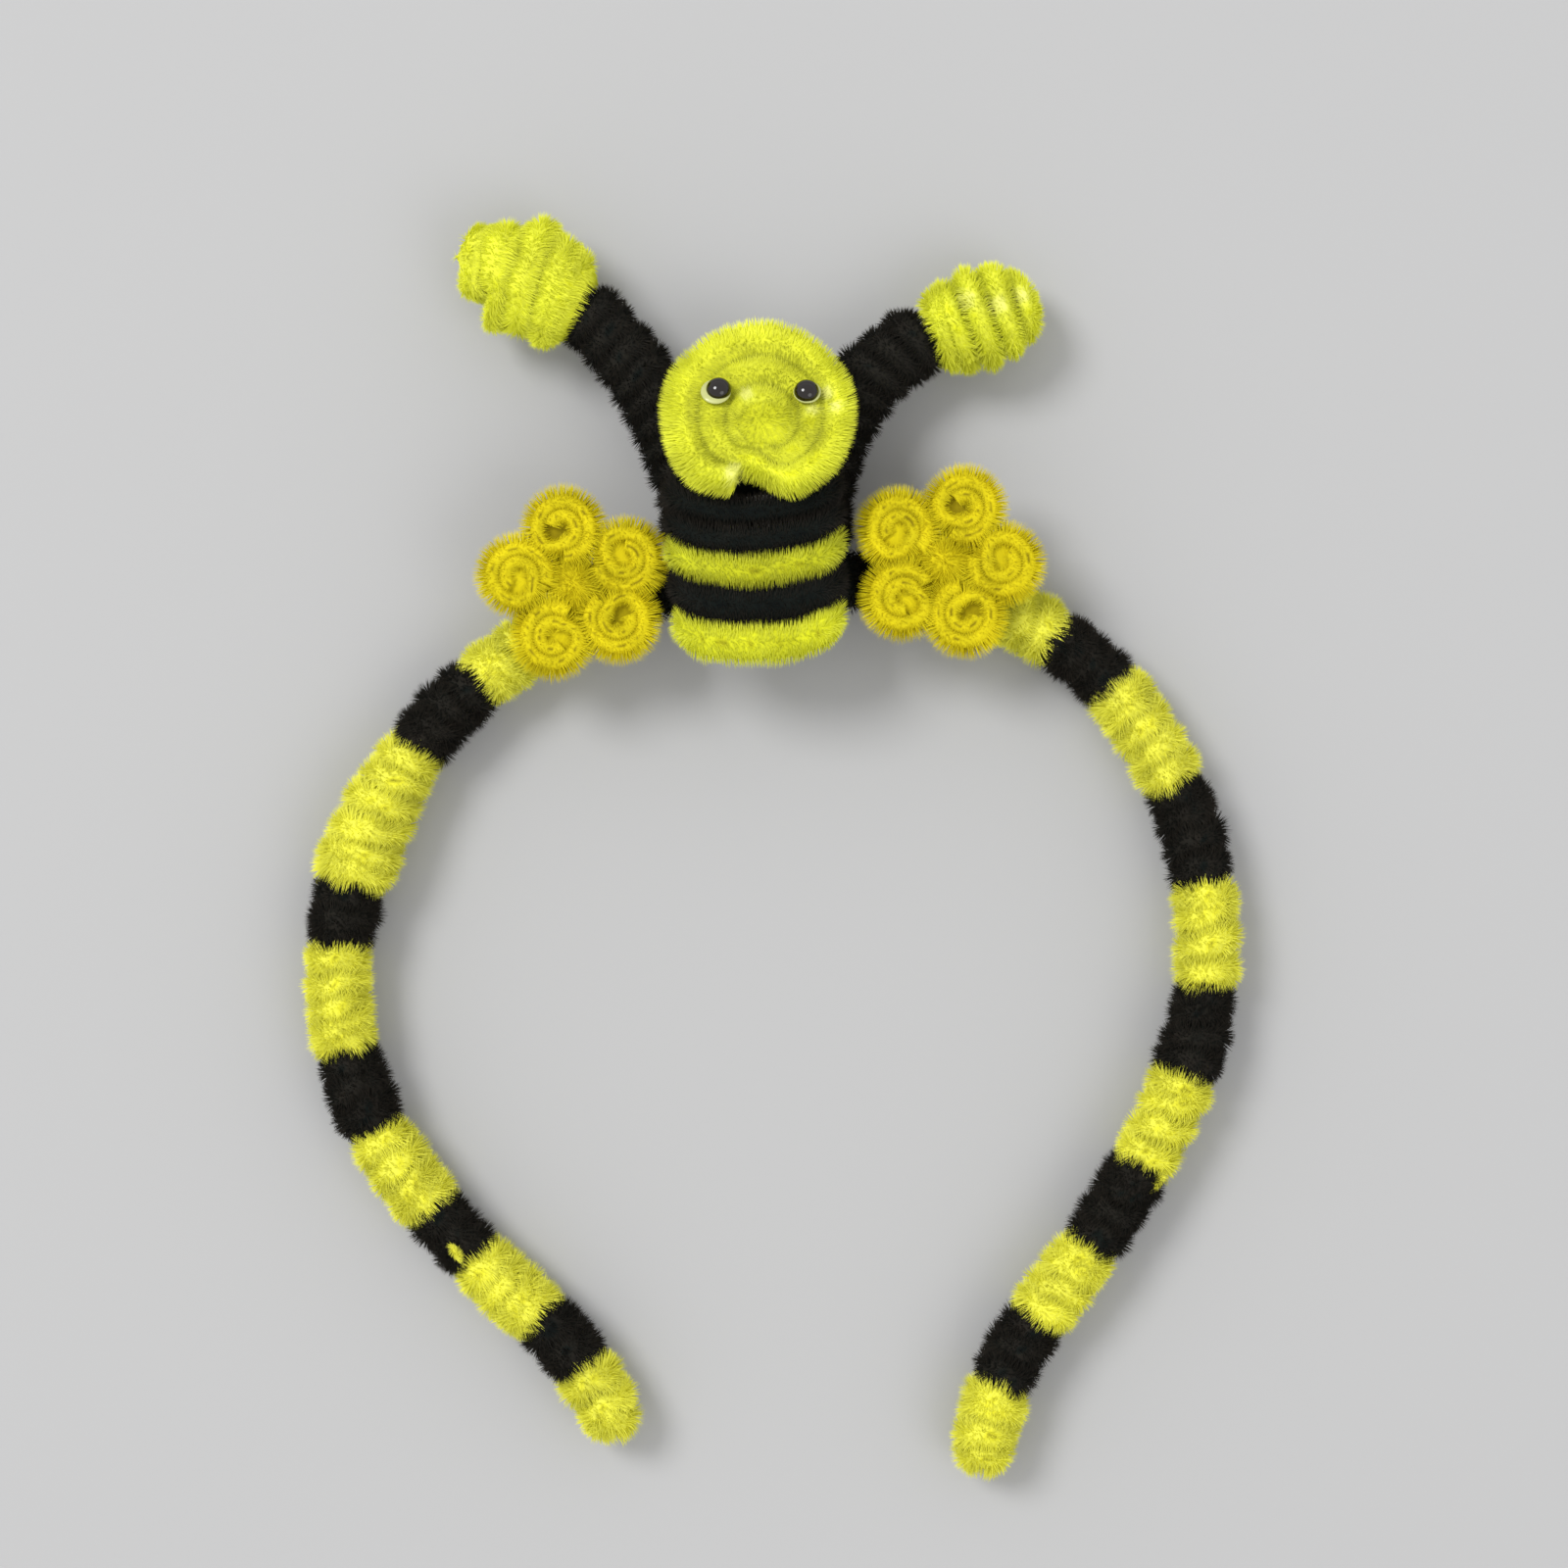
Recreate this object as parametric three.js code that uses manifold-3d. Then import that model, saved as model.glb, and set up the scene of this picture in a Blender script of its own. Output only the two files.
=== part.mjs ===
// Bee antenna headband, lying on its back: a plastic band wound with chenille stems in stripes,
// a bee of coiled stems in front of its crown, two antennae behind the bee, a flower each side.
// Millimetres. X runs to the right, Y from the tips to the antennae, Z up off the surface.
import * as THREE from 'three';
import { mergeVertices } from 'three/addons/utils/BufferGeometryUtils.js';
import Module from 'manifold-3d';

const wasm = await Module();
wasm.setup();

// Clearance between two pieces that touch, and the flat that a wound form rests on
const SEAM = 0.3;
const REST_FLAT = 0.35;

// Hoop: each side runs from the middle of the crown to its tip, along the middle of the winding
const LEFT_LENGTH = 191.5;
const RIGHT_LENGTH = 197;
const BAND_THICKNESS = 2;
const BAND_DEPTH = 5;
const BAND_FIT = 0.25;
const BAND_SETBACK = 7;
const YELLOW_STEM = 4.4;
const BLACK_STEM = 4.1;
const WINDING_PITCH = 4.9;
const WINDING_GROOVE = 0.75;
const TIP_DOME = 6.5;
const TIP_ROUND = 70;

// Bends of each side from the crown on; a turn is in degrees and closes the hoop where positive
const LEFT_BENDS = [
  { share: 0.28, turn: 42.5 },
  { share: 0.21, turn: 36.5 },
  { share: 0.23, turn: 48 },
  { share: 0.15, turn: 10.5 },
  { share: 0.13, turn: -31.5 },
];
const RIGHT_BENDS = [
  { share: 0.175, turn: 16 },
  { share: 0.13, turn: 34 },
  { share: 0.365, turn: 66.5 },
  { share: 0.18, turn: 12 },
  { share: 0.15, turn: -34 },
];

// Stripes of each side, which follow the crown's own and end at shares of the side's length
const LEFT_CROWN_END = 0.155;
const RIGHT_CROWN_END = 0.14;
const LEFT_STRIPES = [
  { name: 'left_yellow_1', colour: 'yellow', end: 0.262 },
  { name: 'left_black_1', colour: 'black', end: 0.339 },
  { name: 'left_yellow_2', colour: 'yellow', end: 0.463 },
  { name: 'left_black_2', colour: 'black', end: 0.517 },
  { name: 'left_yellow_3', colour: 'yellow', end: 0.607 },
  { name: 'left_black_3', colour: 'black', end: 0.677 },
  { name: 'left_yellow_4', colour: 'yellow', end: 0.756 },
  { name: 'left_black_4', colour: 'black', end: 0.811 },
  { name: 'left_yellow_5', colour: 'yellow', end: 0.882 },
  { name: 'left_black_5', colour: 'black', end: 0.934 },
  { name: 'left_yellow_6', colour: 'yellow', end: 1 },
];
const RIGHT_STRIPES = [
  { name: 'right_yellow_1', colour: 'yellow', end: 0.237 },
  { name: 'right_black_1', colour: 'black', end: 0.3 },
  { name: 'right_yellow_2', colour: 'yellow', end: 0.394 },
  { name: 'right_black_2', colour: 'black', end: 0.477 },
  { name: 'right_yellow_3', colour: 'yellow', end: 0.559 },
  { name: 'right_black_3', colour: 'black', end: 0.633 },
  { name: 'right_yellow_4', colour: 'yellow', end: 0.716 },
  { name: 'right_black_4', colour: 'black', end: 0.793 },
  { name: 'right_yellow_5', colour: 'yellow', end: 0.866 },
  { name: 'right_black_5', colour: 'black', end: 0.927 },
  { name: 'right_yellow_6', colour: 'yellow', end: 1 },
];

// Antennae: wound stalks that leave the crown's outer edge, each with a wound ball at its end
const STALK_ROOT_HEIGHT = 9.3;
const STALK_PITCH = 4.2;
const STALK_GROOVE = 0.6;
const LEFT_STALK = { station: 13, length: 42, radius: 5.3 };
const RIGHT_STALK = { station: 7.1, length: 39.5, radius: 5.7 };
const LEFT_STALK_BENDS = [
  { share: 0.32, turn: 14 },
  { share: 0.4, turn: 25 },
  { share: 0.28, turn: 3 },
];
const RIGHT_STALK_BENDS = [
  { share: 0.22, turn: -3 },
  { share: 0.6, turn: -49 },
  { share: 0.18, turn: -10 },
];
const BALL_PITCH = 4.6;
const BALL_GROOVE = 1.1;
const LEFT_BALL = { length: 20.5, radius: 10.2, cant: 22, turn: 8 };
const RIGHT_BALL = { length: 18.5, radius: 9.2, cant: -12, turn: -6 };

// A ball's girth along its length, as shares of its length and radius
const BALL_GIRTH = [
  { share: 0, radius: 0.74 },
  { share: 0.2, radius: 0.94 },
  { share: 0.45, radius: 1 },
  { share: 0.7, radius: 0.93 },
  { share: 0.88, radius: 0.68 },
  { share: 1, radius: 0.3 },
];

// Body: four stem loops laid side by side in front of the crown, its axis tilted towards the bee
const BODY_WIDTH = 29.6;
const BODY_DEPTH = 11.6;
const BODY_BULGE = 1;
const BODY_STEM = 5.7;
const BODY_TILT = 9;
const BODY_YAW = 3;
const BODY_SAG = 3.4;
const BODY_SHIFT = -1.95;
const BODY_REACH = 17.4;
const BODY_LENGTH = 25.9;

// Loops from the head down, their lengths and widths as shares of the body's
const BODY_LOOPS = [
  { name: 'body_black_1', colour: 'black', length: 0.336, width: 1 },
  { name: 'body_yellow_1', colour: 'lemon', length: 0.199, width: 1 },
  { name: 'body_black_2', colour: 'black', length: 0.228, width: 0.985 },
  { name: 'body_yellow_2', colour: 'lemon', length: 0.237, width: 0.96 },
];

// Head: one stem coiled flat round an eye below the middle, its chin seated on the first loop
const HEAD_RADIUS = 16;
const HEAD_STEM_DEPTH = 5.6;
const HEAD_TURNS = 2.9;
const HEAD_COIL_STEP = 0.29;
const HEAD_COIL_START = 245;
const HEAD_COIL_SHIFT = 0.85;
const HEAD_COIL_GAP = 0.01;
const HEAD_LEAN = 30;
const HEAD_SHIFT = -0.83;
const HEAD_REACH = 18.2;

// Distance of the head's edge from the coil's eye, as a share of the head's radius
const HEAD_OUTLINE = [
  { angle: 0, share: 0.88 },
  { angle: 45, share: 1.08 },
  { angle: 90, share: 1.31 },
  { angle: 135, share: 1.2 },
  { angle: 180, share: 1.01 },
  { angle: 222, share: 0.96 },
  { angle: 240, share: 0.86 },
  { angle: 264, share: 0.75 },
  { angle: 288, share: 0.83 },
  { angle: 318, share: 0.83 },
];

// Eyes: two domed beads on the face, placed from the coil's eye
const BEAD_RADIUS = 1.95;
const BEAD_HEIGHT = 1.7;
const BEAD_LIFT = 0.25;
const LEFT_BEAD = { x: -7.1, y: 5.6 };
const RIGHT_BEAD = { x: 6.5, y: 5.2 };

// Flowers: five coiled petals round a knob, laid on the front of the hoop
const PETAL_RING = 8.9;
const PETAL_REACH = 7.2;
const PETAL_INWARD = 0.66;
const PETAL_SIDEWAYS = 0.69;
const PETAL_DEPTH = 5.4;
const PETAL_TURNS = 1.7;
const PETAL_COIL_STEP = 0.43;
const PETAL_COIL_START = 170;
const PETAL_COIL_SHIFT = 0.8;
const PETAL_COIL_GAP = 0.01;
const KNOB_RADIUS = 3.9;
const KNOB_DEPTH = 5;
const LEFT_FLOWER = { name: 'left', station: 29.5, outward: 5.3, turn: 29 };
const RIGHT_FLOWER = { name: 'right', station: 27.2, outward: 5.9, turn: 0.6 };

// How far each petal stands off an even spacing, in degrees
const LEFT_PETALS = [{ swing: -3 }, { swing: 0.5 }, { swing: -2 }, { swing: 2.5 }, { swing: 3 }];
const RIGHT_PETALS = [{ swing: -3 }, { swing: -2 }, { swing: 1 }, { swing: 3 }, { swing: 1 }];

// Facets: sides round a section, and steps along a turn or a length
const ROD_SIDES = 8;
const BALL_SIDES = 10;
const STRAND_SIDES = 6;
const COIL_STEPS = 10;
const HEAD_STEPS = 18;
const LOOP_STEPS = 16;
const LOOP_SIDES = 8;
const DOME_SIDES = 10;
const DOME_ARCS = 4;
const BAND_STEP = 6.5;

const DEGREE = Math.PI / 180;
const UP = new THREE.Vector3(0, 0, 1);

// Colours of the stems, the band inside and the bead eyes
const FINISHES = {
  yellow: { color: 0xd9d63c, roughness: 0.95, metalness: 0 },
  lemon: { color: 0xd6e03a, roughness: 0.95, metalness: 0 },
  gold: { color: 0xc4b414, roughness: 0.95, metalness: 0 },
  black: { color: 0x12161a, roughness: 0.95, metalness: 0 },
  band: { color: 0x1c1c1e, roughness: 0.4, metalness: 0 },
  bead: { color: 0x0a0a0c, roughness: 0.08, metalness: 0 },
};

function piece(name, finish, geometry) {
  const mesh = new THREE.Mesh(geometry, new THREE.MeshStandardMaterial(FINISHES[finish]));
  mesh.name = name;
  return mesh;
}

// A level route of tangent bends, turned left where side is 1 and right where side is -1.
// It rises evenly from its start's height to its end's, and its last bend runs on past its end.
class Route extends THREE.Curve {
  constructor({ start, heading, bends, length, side = 1, rise = 0 }) {
    super();
    Object.assign(this, { start, heading, bends, length, side, rise });
  }

  at(station) {
    const point = this.start.clone();
    let heading = this.heading;
    let left = station;
    this.bends.forEach((bend, index) => {
      const length = bend.share * this.length;
      const last = index === this.bends.length - 1;
      const run = last ? left : Math.min(left, length);
      const swing = this.side * bend.turn * DEGREE * run / length;
      const chord = swing === 0 ? run : run * Math.sin(swing / 2) / (swing / 2);
      point.x += chord * Math.cos(heading + swing / 2);
      point.y += chord * Math.sin(heading + swing / 2);
      heading += swing;
      left -= run;
    });
    point.z += this.rise * THREE.MathUtils.smoothstep(station, 0, this.length);
    const ahead = new THREE.Vector3(Math.cos(heading), Math.sin(heading), 0);
    const across = new THREE.Vector3(-ahead.y, ahead.x, 0);
    return { point, ahead, across, heading };
  }

  getPoint(share) {
    return this.at(share * this.length).point;
  }
}

// The hoop's middle line, from the left tip at minus its length to the right tip
class HoopRoute extends THREE.Curve {
  constructor(height) {
    super();
    const start = new THREE.Vector3(0, 0, height);
    this.left = new Route({
      start, heading: Math.PI, bends: LEFT_BENDS, length: LEFT_LENGTH, side: 1,
    });
    this.right = new Route({
      start, heading: 0, bends: RIGHT_BENDS, length: RIGHT_LENGTH, side: -1,
    });
  }

  at(station) {
    if (station >= 0) return this.right.at(station);
    const { point, ahead, across, heading } = this.left.at(-station);
    return { point, ahead: ahead.negate(), across: across.negate(), heading: heading - Math.PI };
  }

  stretch(from, to) {
    const route = this;
    const curve = new THREE.Curve();
    curve.getPoint = (share) => route.at(THREE.MathUtils.lerp(from, to, share)).point;
    return curve;
  }
}

// A rod wound with one stem: its crest and its groove are two lines that wind on side by side.
// girth gives the crest's half sizes across and in depth at each station.
function woundGeometry({ route, from, to, girth, pitch, groove, sides = ROD_SIDES }) {
  const steps = Math.round(((to - from) / pitch - 0.5) * sides);
  const advance = (to - from) / (steps / sides + 0.5);
  const points = [];
  const index = [];
  const place = (station, u, w) => {
    const { point, across } = route.at(station);
    points.push(point.addScaledVector(across, u).addScaledVector(UP, w));
  };
  for (const line of [{ offset: 0, sunk: 0 }, { offset: 0.5, sunk: groove }]) {
    for (let step = 0; step <= steps; step += 1) {
      const station = from + advance * (step / sides + line.offset);
      const angle = 2 * Math.PI * step / sides - Math.PI / 2;
      const half = girth(station);
      place(
        station,
        (half.across - line.sunk) * Math.cos(angle),
        (half.deep - line.sunk) * Math.sin(angle),
      );
    }
  }
  place(from, 0, 0);
  place(to, 0, 0);
  const crest = (step) => step;
  const sunk = (step) => steps + 1 + step;
  const firstHub = 2 * steps + 2;
  const lastHub = firstHub + 1;
  const quad = (a, b, c, d) => index.push(a, b, c, a, c, d);
  for (let step = 0; step < steps; step += 1) {
    quad(crest(step), crest(step + 1), sunk(step + 1), sunk(step));
    if (step + sides < steps) {
      quad(sunk(step), sunk(step + 1), crest(step + sides + 1), crest(step + sides));
    }
  }
  for (let step = 0; step < sides; step += 1) {
    index.push(firstHub, crest(step + 1), crest(step));
    index.push(lastHub, sunk(steps - sides + step), sunk(steps - sides + step + 1));
  }
  index.push(firstHub, sunk(0), crest(sides), firstHub, crest(0), sunk(0));
  index.push(lastHub, sunk(steps), crest(steps), lastHub, crest(steps), sunk(steps - sides));
  const geometry = new THREE.BufferGeometry().setFromPoints(points);
  geometry.setIndex(index);
  return faceOutwards(geometry);
}

function faceOutwards(geometry) {
  const { index, attributes: { position } } = geometry;
  const [a, b, c] = [0, 1, 2].map(() => new THREE.Vector3());
  let volume = 0;
  for (let i = 0; i < index.count; i += 3) {
    a.fromBufferAttribute(position, index.getX(i));
    b.fromBufferAttribute(position, index.getX(i + 1));
    c.fromBufferAttribute(position, index.getX(i + 2));
    volume += a.dot(b.cross(c));
  }
  for (let i = 0; volume < 0 && i < index.count; i += 3) {
    const second = index.getX(i + 1);
    index.setX(i + 1, index.getX(i + 2));
    index.setX(i + 2, second);
  }
  return geometry;
}

function welded(geometry) {
  const bare = geometry.clone();
  bare.deleteAttribute('normal');
  bare.deleteAttribute('uv');
  return mergeVertices(bare, 1e-4);
}

function toSolid(geometry) {
  const bare = welded(geometry);
  return new wasm.Manifold(new wasm.Mesh({
    numProp: 3,
    vertProperties: new Float32Array(bare.attributes.position.array),
    triVerts: new Uint32Array(bare.index.array),
  }));
}

function toGeometry(solid) {
  const mesh = solid.getMesh();
  const geometry = new THREE.BufferGeometry();
  geometry.setAttribute('position', new THREE.BufferAttribute(mesh.vertProperties, 3));
  geometry.setIndex(new THREE.BufferAttribute(mesh.triVerts, 1));
  return geometry;
}

// Keeps what lies between two stations of a route, and above the surface that it rests on
function cutBetween(solid, route, from, to) {
  let cut = solid.trimByPlane([0, 0, 1], 0);
  for (const { station, sense } of [{ station: from, sense: 1 }, { station: to, sense: -1 }]) {
    if (station === null) continue;
    const { point, ahead } = route.at(station);
    const normal = ahead.multiplyScalar(sense);
    cut = cut.trimByPlane(normal.toArray(), normal.dot(point));
  }
  return cut;
}

// Half sizes of the winding, across the hoop and in depth, for a stem of this thickness
function windingHalf(stem) {
  return {
    across: BAND_THICKNESS / 2 + BAND_FIT + stem,
    deep: BAND_DEPTH / 2 + BAND_FIT + stem,
  };
}

const HOOP_HEIGHT = windingHalf(BLACK_STEM).deep - REST_FLAT;
const HOOP_FRONT = HOOP_HEIGHT + windingHalf(YELLOW_STEM).deep;
const hoop = new HoopRoute(HOOP_HEIGHT);

// The plastic band, or the room for it when it is grown by the fit
function bandGeometry(from, to, grow) {
  const half = { deep: BAND_DEPTH / 2 + grow, across: BAND_THICKNESS / 2 + grow };
  const section = new THREE.Shape([
    new THREE.Vector2(-half.deep, -half.across),
    new THREE.Vector2(half.deep, -half.across),
    new THREE.Vector2(half.deep, half.across),
    new THREE.Vector2(-half.deep, half.across),
  ]);
  return new THREE.ExtrudeGeometry(section, {
    extrudePath: hoop.stretch(from, to),
    steps: Math.max(2, Math.round((to - from) / BAND_STEP)),
  });
}

const BAND_FROM = BAND_SETBACK - LEFT_LENGTH;
const BAND_TO = RIGHT_LENGTH - BAND_SETBACK;

// One stripe of the winding between two stations, drilled for the band and domed at a tip
function stripeGeometry(colour, from, to) {
  const half = windingHalf(colour === 'black' ? BLACK_STEM : YELLOW_STEM);
  const atLeftTip = from <= -LEFT_LENGTH;
  const atRightTip = to >= RIGHT_LENGTH;
  const girth = (station) => {
    const toLeftTip = atLeftTip ? station - from : TIP_DOME;
    const toRightTip = atRightTip ? to - station : TIP_DOME;
    const past = 1 - Math.min(toLeftTip, toRightTip, TIP_DOME) / TIP_DOME;
    const taper = Math.sqrt(1 - (past * Math.sin(TIP_ROUND * DEGREE)) ** 2);
    return { across: half.across * taper, deep: half.deep * taper };
  };
  const winding = toSolid(woundGeometry({
    route: hoop,
    from: atLeftTip ? from : from - WINDING_PITCH,
    to: atRightTip ? to : to + WINDING_PITCH,
    girth,
    pitch: WINDING_PITCH,
    groove: WINDING_GROOVE,
  }));
  const stripe = cutBetween(
    winding,
    hoop,
    atLeftTip ? null : from + SEAM / 2,
    atRightTip ? null : to - SEAM / 2,
  );
  const bore = toSolid(bandGeometry(
    Math.max(from - WINDING_PITCH, BAND_FROM - BAND_FIT),
    Math.min(to + WINDING_PITCH, BAND_TO + BAND_FIT),
    BAND_FIT,
  ));
  return toGeometry(stripe.subtract(bore));
}

function buildHoop() {
  const group = new THREE.Group();
  const leftCrown = LEFT_CROWN_END * LEFT_LENGTH;
  const rightCrown = RIGHT_CROWN_END * RIGHT_LENGTH;
  group.add(piece('hoop_band', 'band', bandGeometry(BAND_FROM, BAND_TO, 0)));
  group.add(piece('crown_winding', 'black', stripeGeometry('black', -leftCrown, rightCrown)));
  let from = -leftCrown;
  for (const { name, colour, end } of LEFT_STRIPES) {
    const to = -end * LEFT_LENGTH;
    group.add(piece(name, colour, stripeGeometry(colour, to, from)));
    from = to;
  }
  from = rightCrown;
  for (const { name, colour, end } of RIGHT_STRIPES) {
    const to = end * RIGHT_LENGTH;
    group.add(piece(name, colour, stripeGeometry(colour, from, to)));
    from = to;
  }
  return group;
}

// A value between the rows of a table, where shares run from 0 to 1
function tableValue(rows, share) {
  const next = rows.findIndex((row) => row.share >= share);
  if (next <= 0) return rows[next < 0 ? rows.length - 1 : 0].radius;
  const [low, high] = [rows[next - 1], rows[next]];
  const between = (share - low.share) / (high.share - low.share);
  return THREE.MathUtils.lerp(low.radius, high.radius, THREE.MathUtils.smoothstep(between, 0, 1));
}

// An antenna: a wound stalk from the hoop's outer edge, and a wound ball that rests beside it
function buildAntenna(name, side, stalk, bends, ball) {
  const group = new THREE.Group();
  const crown = hoop.at(side * stalk.station);
  const outward = crown.across;
  const start = crown.point.clone()
    .addScaledVector(outward, windingHalf(BLACK_STEM).across + SEAM)
    .setZ(STALK_ROOT_HEIGHT);
  const ballHeight = ball.radius - REST_FLAT;
  const stalkRoute = new Route({
    start, heading: Math.PI / 2, bends, length: stalk.length, rise: ballHeight - start.z,
  });
  const end = stalkRoute.at(stalk.length);
  const seat = stalkRoute.at(stalk.length + SEAM);
  const ballRoute = new Route({
    start: seat.point,
    heading: end.heading + ball.cant * DEGREE,
    bends: [{ share: 1, turn: ball.turn }],
    length: ball.length,
  });
  const stalkSolid = toSolid(woundGeometry({
    route: stalkRoute,
    from: -STALK_PITCH,
    to: stalk.length + STALK_PITCH,
    girth: () => ({ across: stalk.radius, deep: stalk.radius }),
    pitch: STALK_PITCH,
    groove: STALK_GROOVE,
  }));
  const ballSolid = toSolid(woundGeometry({
    route: ballRoute,
    from: -BALL_PITCH,
    to: ball.length,
    girth: (station) => {
      const radius = ball.radius * tableValue(BALL_GIRTH, station / ball.length);
      return { across: radius, deep: radius };
    },
    pitch: BALL_PITCH,
    groove: BALL_GROOVE,
    sides: BALL_SIDES,
  }));
  group.add(piece(`${name}_stalk`, 'black',
    toGeometry(cutBetween(stalkSolid, stalkRoute, 0, stalk.length))));
  group.add(piece(`${name}_ball`, 'lemon',
    toGeometry(cutBetween(ballSolid, stalkRoute, stalk.length + SEAM, null))));
  return group;
}

// Moves each corner of a geometry by a function of its place
function reshape(geometry, move) {
  const { position } = geometry.attributes;
  const point = new THREE.Vector3();
  for (let i = 0; i < position.count; i += 1) {
    move(point.fromBufferAttribute(position, i));
    position.setXYZ(i, point.x, point.y, point.z);
  }
  return geometry;
}

// A stem coiled flat inside a circle of radius 1. Each turn keeps its distance from the middle
// and steps inwards by one stem over its last part, so the turns lie snugly side by side.
function coilGeometry({ turns, step, shift, depth, gap, begin, sense, stepsPerTurn, sides }) {
  const spiral = new THREE.Curve();
  spiral.getPoint = (share) => {
    const turned = share * turns;
    const whole = Math.floor(turned);
    const inward = whole + THREE.MathUtils.smoothstep(turned - whole, shift, 1);
    const radius = 1 - step / 2 - step * inward;
    const angle = begin * DEGREE + sense * 2 * Math.PI * turned;
    return new THREE.Vector3(radius * Math.cos(angle), radius * Math.sin(angle), 0);
  };
  const corners = Array.from({ length: sides }, (_, side) => {
    const angle = 2 * Math.PI * side / sides;
    return new THREE.Vector2(
      depth / 2 * Math.sin(angle),
      -(step / 2 - gap) * Math.cos(angle),
    );
  });
  return new THREE.ExtrudeGeometry(new THREE.Shape(corners), {
    extrudePath: spiral,
    steps: Math.round(turns * stepsPerTurn),
  });
}

// The head's edge at an angle: a smooth closed line through the rows of its outline
function headEdge(angle) {
  const degrees = THREE.MathUtils.euclideanModulo(angle / DEGREE, 360);
  const rows = HEAD_OUTLINE;
  const count = rows.length;
  const low = rows.findLastIndex((row) => row.angle <= degrees);
  const near = (offset) => {
    const index = low + offset;
    const lap = Math.floor(index / count);
    const row = rows[THREE.MathUtils.euclideanModulo(index, count)];
    return { angle: row.angle + 360 * lap, share: row.share };
  };
  const [before, first, second, after] = [-1, 0, 1, 2].map(near);
  const span = second.angle - first.angle;
  const share = (degrees - first.angle) / span;
  const slopeIn = (second.share - before.share) / (second.angle - before.angle) * span;
  const slopeOut = (after.share - first.share) / (after.angle - first.angle) * span;
  const rise = second.share - first.share;
  const bend = 3 * rise - 2 * slopeIn - slopeOut;
  const curl = slopeIn + slopeOut - 2 * rise;
  return first.share + slopeIn * share + bend * share ** 2 + curl * share ** 3;
}

// The body's middle, held off the crown's front by the tilt of its axis
function placeBody() {
  const tilt = BODY_TILT * DEGREE;
  const half = windingHalf(BLACK_STEM);
  const support = Math.hypot(half.across * Math.sin(tilt), half.deep * Math.cos(tilt));
  const lift = support + SEAM + BODY_DEPTH / 2;
  return hoop.at(0).point.add(new THREE.Vector3(0, -lift * Math.sin(tilt), lift * Math.cos(tilt)));
}

const bodyMiddle = placeBody();

// The line that a loop follows: a flat oval with round ends and a bulging front that sags.
// Angles from an eighth of a turn before each end to an eighth after it run round that end.
function loopLine(angle, width) {
  const end = Math.sign(Math.cos(angle));
  const front = Math.max(0, Math.sin(angle));
  const spine = THREE.MathUtils.clamp(Math.SQRT2 * Math.cos(angle), -1, 1);
  const outward = Math.abs(spine) === 1
    ? new THREE.Vector3(end * Math.cos(2 * angle), 0, end * Math.sin(2 * angle))
    : new THREE.Vector3(0, 0, Math.sign(Math.sin(angle)));
  const line = outward.clone().multiplyScalar((BODY_DEPTH - BODY_STEM) / 2);
  line.x += spine * (BODY_WIDTH * width - BODY_DEPTH) / 2;
  line.y -= BODY_SAG * front;
  line.z += front > 0 ? BODY_BULGE * (1 - spine ** 2) : 0;
  return { line, outward };
}

// How far the body's top loop stands out from the body's middle, along a direction turned from
// the body's front towards its top
function loopSupport(row, turned) {
  const length = row.length * BODY_LENGTH;
  const round = Math.hypot(length / 2 * Math.sin(turned), BODY_STEM / 2 * Math.cos(turned));
  const stands = Array.from({ length: LOOP_STEPS }, (_, step) => {
    const { line } = loopLine(2 * Math.PI * step / LOOP_STEPS, row.width);
    const along = BODY_REACH - length / 2 + line.y;
    return along * Math.sin(turned) + line.z * Math.cos(turned) + round;
  });
  return Math.max(...stands);
}

function buildHead() {
  const group = new THREE.Group();
  const coil = coilGeometry({
    turns: HEAD_TURNS,
    step: HEAD_COIL_STEP,
    shift: HEAD_COIL_SHIFT,
    depth: HEAD_STEM_DEPTH,
    gap: HEAD_COIL_GAP,
    begin: HEAD_COIL_START,
    sense: -1,
    stepsPerTurn: HEAD_STEPS,
    sides: LOOP_SIDES,
  });
  reshape(coil, (point) => {
    const edge = HEAD_RADIUS * headEdge(Math.atan2(point.y, point.x));
    point.x *= edge;
    point.y *= edge;
  });
  group.add(piece('head_coil', 'lemon', coil));
  const beads = [{ name: 'left_eye', ...LEFT_BEAD }, { name: 'right_eye', ...RIGHT_BEAD }];
  for (const { name, x, y } of beads) {
    const bead = piece(name, 'bead', beadGeometry());
    bead.position.set(x, y, HEAD_STEM_DEPTH / 2 + BEAD_LIFT);
    group.add(bead);
  }
  const lean = HEAD_LEAN * DEGREE;
  const facing = new THREE.Vector3(0, Math.sin(lean), Math.cos(lean));
  const upwards = new THREE.Vector3(0, Math.cos(lean), -Math.sin(lean));
  const lift = loopSupport(BODY_LOOPS[0], lean + BODY_TILT * DEGREE) + SEAM + HEAD_STEM_DEPTH / 2;
  group.position.copy(bodyMiddle)
    .addScaledVector(facing, lift)
    .addScaledVector(upwards, HEAD_REACH);
  group.position.x += HEAD_SHIFT;
  group.rotation.x = -lean;
  return group;
}

function beadGeometry() {
  const profile = [new THREE.Vector2(0, 0)];
  for (let arc = 0; arc <= DOME_ARCS; arc += 1) {
    const angle = Math.PI / 2 * arc / DOME_ARCS;
    const radius = arc === DOME_ARCS ? 0 : BEAD_RADIUS * Math.cos(angle);
    profile.push(new THREE.Vector2(radius, BEAD_HEIGHT * Math.sin(angle)));
  }
  return new THREE.LatheGeometry(profile, DOME_SIDES).rotateX(Math.PI / 2);
}

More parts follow.
